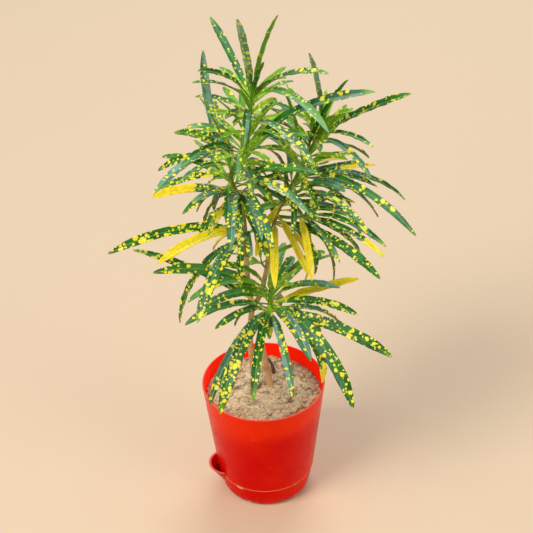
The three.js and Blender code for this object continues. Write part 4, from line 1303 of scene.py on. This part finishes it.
def cup_scoop(name, inset, rise):
    facing = math.radians(CUP_FACING)
    rings = []
    for end, lift in ((CUP_FOOT, inset), (CUP_TOP, rise)):
        x = end["distance"] * math.cos(facing)
        y = end["distance"] * math.sin(facing)
        rings.append(circle(end["radius"] - inset, end["height"] + lift, CUP_SIDES, x, y))
    return prism(name, *rings)


def slot_cutter(name, angle):
    turn = Matrix.Rotation(angle, 3, "Z")
    rings = []
    for end in (-1, 1):
        height = SLOT_MIDDLE + end * SLOT_HEIGHT / 2
        corners = [
            (WELL_RADIUS + out * SLOT_LENGTH / 2, side * SLOT_WIDTH / 2, height)
            for out, side in ((-1, -1), (1, -1), (1, 1), (-1, 1))
        ]
        rings.append([tuple(turn @ Vector(corner)) for corner in corners])
    return prism(name, *rings)


def drain_cutter(name, angle):
    x = DRAIN_CIRCLE * math.cos(angle)
    y = DRAIN_CIRCLE * math.sin(angle)
    lower = circle(DRAIN_RADIUS, FLOOR_HEIGHT - 1, DRAIN_SIDES, x, y)
    upper = circle(DRAIN_RADIUS, FLOOR_TOP + 1, DRAIN_SIDES, x, y)
    return prism(name, lower, upper)


def finish_plastic(piece, *nodes):
    piece.data.materials.clear()
    piece.data.materials.append(PLASTIC)
    piece.data.shade_smooth()
    piece.data.set_sharp_from_angle(angle=math.radians(SHARP_ANGLE))
    make_part(piece, "red_plastic", *nodes)


well_floor = WELL_BOTTOM + POT_WALL
pot_profile = [
    (0, WELL_BOTTOM),
    (WELL_RADIUS - WELL_TAPER, WELL_BOTTOM),
    (WELL_RADIUS, FLOOR_HEIGHT),
    (tray_inner_radius_at(FLOOR_HEIGHT) - SIDE_GAP, FLOOR_HEIGHT),
    (tray_inner_radius_at(SEAM_HEIGHT) - SIDE_GAP, SEAM_HEIGHT),
    (SEAM_RADIUS, SEAM_HEIGHT),
    *((RIM_RADIUS - inset, POT_HEIGHT - drop) for inset, drop in RIM_BEAD),
    (inner_radius_at(POT_HEIGHT), POT_HEIGHT - RIM_INNER_DROP),
    *shoulder_profile(0),
    (WELL_RADIUS - POT_WALL, FLOOR_TOP),
    (WELL_RADIUS - WELL_TAPER - POT_WALL, well_floor),
    (0, well_floor),
]
pot = turned("pot", rounded(pot_profile, 5, SEAM_ROUNDING))
cutters = [slot_cutter(f"slot_{k}", k / WELL_SLOTS * 2 * math.pi) for k in range(WELL_SLOTS)]
cutters += [drain_cutter(f"drain_{k}", (k + 0.5) / DRAIN_COUNT * 2 * math.pi) for k in range(DRAIN_COUNT)]
cut(pot, "DIFFERENCE", cutters)
finish_plastic(pot, "pot_body")

tray_top = SEAM_HEIGHT - GAP
tray_profile = [
    (0, 0), *TRAY_FOOT, (TRAY_HEEL_RADIUS, TRAY_HEEL_HEIGHT), (SEAM_RADIUS - GAP, tray_top), (0, tray_top),
]
for corner, size in TRAY_ROUNDINGS:
    tray_profile = rounded(tray_profile, corner, size)
tray = turned("tray", tray_profile)
cut(tray, "UNION", [cup_scoop("cup_outside", 0, 0)])
tray_inside = [
    *TRAY_FLOOR, (tray_inner_radius_at(TRAY_HEEL_HEIGHT), TRAY_HEEL_HEIGHT),
    (tray_inner_radius_at(tray_top + 1), tray_top + 1), (0, tray_top + 1),
]
over_cup = CUP_TOP["height"] + 1
pot_room = [
    (0, tray_top), (SEAM_RADIUS + GAP, tray_top),
    (SEAM_RADIUS + GAP + wall_slope * (over_cup - tray_top), over_cup), (0, over_cup),
]
cut(tray, "DIFFERENCE", [turned("inside", tray_inside), cup_scoop("cup_inside", POT_WALL, 1)])
cut(tray, "DIFFERENCE", [turned("pot_room", pot_room)])
finish_plastic(tray, "base_tray")


# Soil


def scatter_clods():
    draw = draw_from(SOIL_SEED)
    clods = []
    for _ in range(CLOD_COUNT):
        angle = math.radians(draw(180))
        reach = (RIM_RADIUS - CLOD_MARGIN) * math.sqrt(abs(draw(1)))
        radius = CLOD_RADIUS + draw(CLOD_RADIUS_SCATTER)
        rise = CLOD_RISE + draw(CLOD_RISE_SCATTER)
        clods.append((reach * math.cos(angle), reach * math.sin(angle), radius, rise))
    return clods


CLODS = scatter_clods()


def soil_level(x, y):
    """Height of the soil's top: the solid's clods, with crumbly detail on them."""
    height = 0.0
    for cx, cy, radius, rise in CLODS:
        away = ((x - cx) ** 2 + (y - cy) ** 2) / radius**2
        if away < 1:
            height = max(height, rise * (1 - away))
    rough = noise.fractal(Vector((x * ROUGH_RATE, y * ROUGH_RATE, 3.7)), 0.9, 2.1, 5)
    grit = noise.noise(Vector((x * GRIT_RATE, y * GRIT_RATE, 9.2)))
    return SOIL_HEIGHT + CLOD_SHARE * height + ROUGH_HEIGHT * rough + GRIT_HEIGHT * grit


def draw_soil():
    drawing = Drawing()
    top_radius = inner_radius_at(SOIL_HEIGHT) - SIDE_GAP
    body = [
        (AXIS_RADIUS, well_floor + GAP),
        (WELL_RADIUS - WELL_TAPER - POT_WALL - SIDE_GAP, well_floor + GAP),
        (WELL_RADIUS - POT_WALL - SIDE_GAP, FLOOR_TOP + GAP),
        *reversed(shoulder_profile(SIDE_GAP)),
    ]
    rings = [circle(radius, height, SOIL_SIDES) for radius, height in body]
    tones = [[(0.5, 0.0, 0.0, 0.0)] * SOIL_SIDES for _ in body]
    for radius in [top_radius * (1 - k / SOIL_RINGS) for k in range(SOIL_RINGS)] + [AXIS_RADIUS]:
        ring = [(x, y, soil_level(x, y)) for x, y, _ in circle(radius, 0, SOIL_SIDES)]
        rings.append(ring)
        hollows = [smooth((SOIL_HEIGHT + HOLLOW_FROM - z) / HOLLOW_DEPTH) for _, _, z in ring]
        tones.append([(hollow, 0.0, 0.0, 0.0) for hollow in hollows])
    drawing.skin(rings, [[(0, 0, 0)] * SOIL_SIDES] * len(rings), tones, 0)
    draw_crumbs(drawing, top_radius)
    return drawing


def lump_shape(level):
    made = bmesh.new()
    bmesh.ops.create_icosphere(made, subdivisions=level, radius=1)
    made.verts.ensure_lookup_table()
    points = [v.co.copy() for v in made.verts]
    faces = [[v.index for v in f.verts] for f in made.faces]
    made.free()
    return points, faces


def scatter_crumbs(top_radius):
    """Crumbs in patches, with a pebble now and then: rows of x, y, size, paleness."""
    draw = draw_from(CRUMB_SEED)
    crumbs = []
    for i in range(CRUMB_TRIES):
        angle = math.radians(draw(180))
        size = SMALLEST_CRUMB + CRUMB_GROWTH * abs(draw(1)) ** 3
        if i % PEBBLE_EVERY == 0:
            size = PEBBLE_SIZE + abs(draw(PEBBLE_SCATTER))
        share = math.sqrt(abs(draw(1)))
        reach = (top_radius - WALL_MARGIN - size) * share
        x = reach * math.cos(angle)
        y = reach * math.sin(angle)
        paleness = abs(draw(1))
        patch = noise.noise(Vector((x * CRUMB_PATCH_RATE, y * CRUMB_PATCH_RATE, 4.2)))
        if patch + MORE_AT_WALL * share**3 > CRUMB_BAR:
            crumbs.append((x, y, size, paleness))
    return crumbs + PEBBLES


def draw_crumbs(drawing, top_radius):
    """Loose crumbs and a few pebbles that lie on the soil, half sunk in it."""
    shapes = [lump_shape(1), lump_shape(2), lump_shape(3)]
    for x, y, size, paleness in scatter_crumbs(top_radius):
        points, faces = shapes[(size >= MIDDLE_CRUMB) + (size >= LARGE_CRUMB)]
        start = len(drawing.points)
        seed = Vector((x * 3.1, y * 2.7, size * 5.3))
        squat = CRUMB_SQUAT + CRUMB_SQUAT_SCATTER * noise.noise(seed)
        spin = Matrix.Rotation(x + y, 3, "Z")
        z = soil_level(x, y) + size * squat * CRUMB_SUNK
        shade = paleness if size > MIDDLE_CRUMB else paleness * SMALL_CRUMB_SHADE
        for p in points:
            lump = 1 + 0.38 * noise.noise(p * 1.1 + seed) + 0.16 * noise.noise(p * 2.9 + seed)
            q = spin @ Vector((p.x * CRUMB_STRETCH[0], p.y * CRUMB_STRETCH[1], p.z * squat)) * size * lump
            drawing.points.append((x + q.x, y + q.y, z + q.z))
            drawing.place.append((0, 0, 0))
            drawing.tone.append((0.0, shade, 0.0, 0.0))
        for face in faces:
            drawing.faces.append(tuple(start + k for k in face))
            drawing.slots.append(0)


make_part(draw_soil().finish("potting_soil", [SOIL]), "soil", "soil")


# Camera, floor and lights

CAMERA_TARGET = Vector((0.0063, 0, 0.2861))
CAMERA_DISTANCE = 1.607
SENSOR_WIDTH = 36
FLOOR_REACH = 6

lens = bpy.data.cameras.new("camera")
lens.sensor_width = SENSOR_WIDTH
lens.lens = VIEW_REACH * SENSOR_WIDTH / (2 * VIEW_MIDDLE)
lens.clip_start = 0.05
lens.clip_end = 50
right, up, back = (Vector(axis) for axis in viewer_axes())
camera = add_object("camera", lens)
camera.matrix_world = (
    Matrix.Translation(CAMERA_TARGET + back * CAMERA_DISTANCE)
    @ Matrix((right, up, back)).transposed().to_4x4()
)
bpy.context.scene.camera = camera


def area_light(name, at, aim, size, power, colour):
    data = bpy.data.lights.new(name, "AREA")
    data.shape = "DISK"
    data.size = size
    data.energy = power
    data.color = colour
    light = add_object(name, data)
    light.location = at
    light.rotation_euler = (Vector(aim) - Vector(at)).to_track_quat("-Z", "Y").to_euler()


area_light("key", (-1.5, -1.3, 2.6), (0, 0, 0.3), 1.3, 64, (1.0, 0.98, 0.94))
area_light("sky", (0.5, 2.1, 2.5), (0, 0, 0.3), 2.2, 54, (0.84, 0.93, 1.0))
area_light("fill", (2.2, -1.6, 1.4), (0, 0, 0.25), 1.6, 20, (1.0, 0.98, 0.95))

world = bpy.data.worlds.new("studio")
world.use_nodes = True
world.node_tree.nodes["Background"].inputs[0].default_value = (0.93, 0.96, 1.0, 1)
world.node_tree.nodes["Background"].inputs[1].default_value = 0.4
bpy.context.scene.world = world
bpy.context.scene.view_settings.view_transform = "Standard"

floor_mesh = bpy.data.meshes.new("floor")
corners = [(FLOOR_REACH * x, FLOOR_REACH * y, 0) for x, y in ((-1, -1), (1, -1), (1, 1), (-1, 1))]
floor_mesh.from_pydata(corners, [], [(0, 1, 2, 3)])
floor_nodes = Nodes("pale_floor")
floor_nodes.set(Base_Color=(0.73, 0.545, 0.37), Roughness=0.9, Specular_IOR_Level=0.2)
floor_mesh.materials.append(floor_nodes.material)
floor = add_object("floor", floor_mesh)
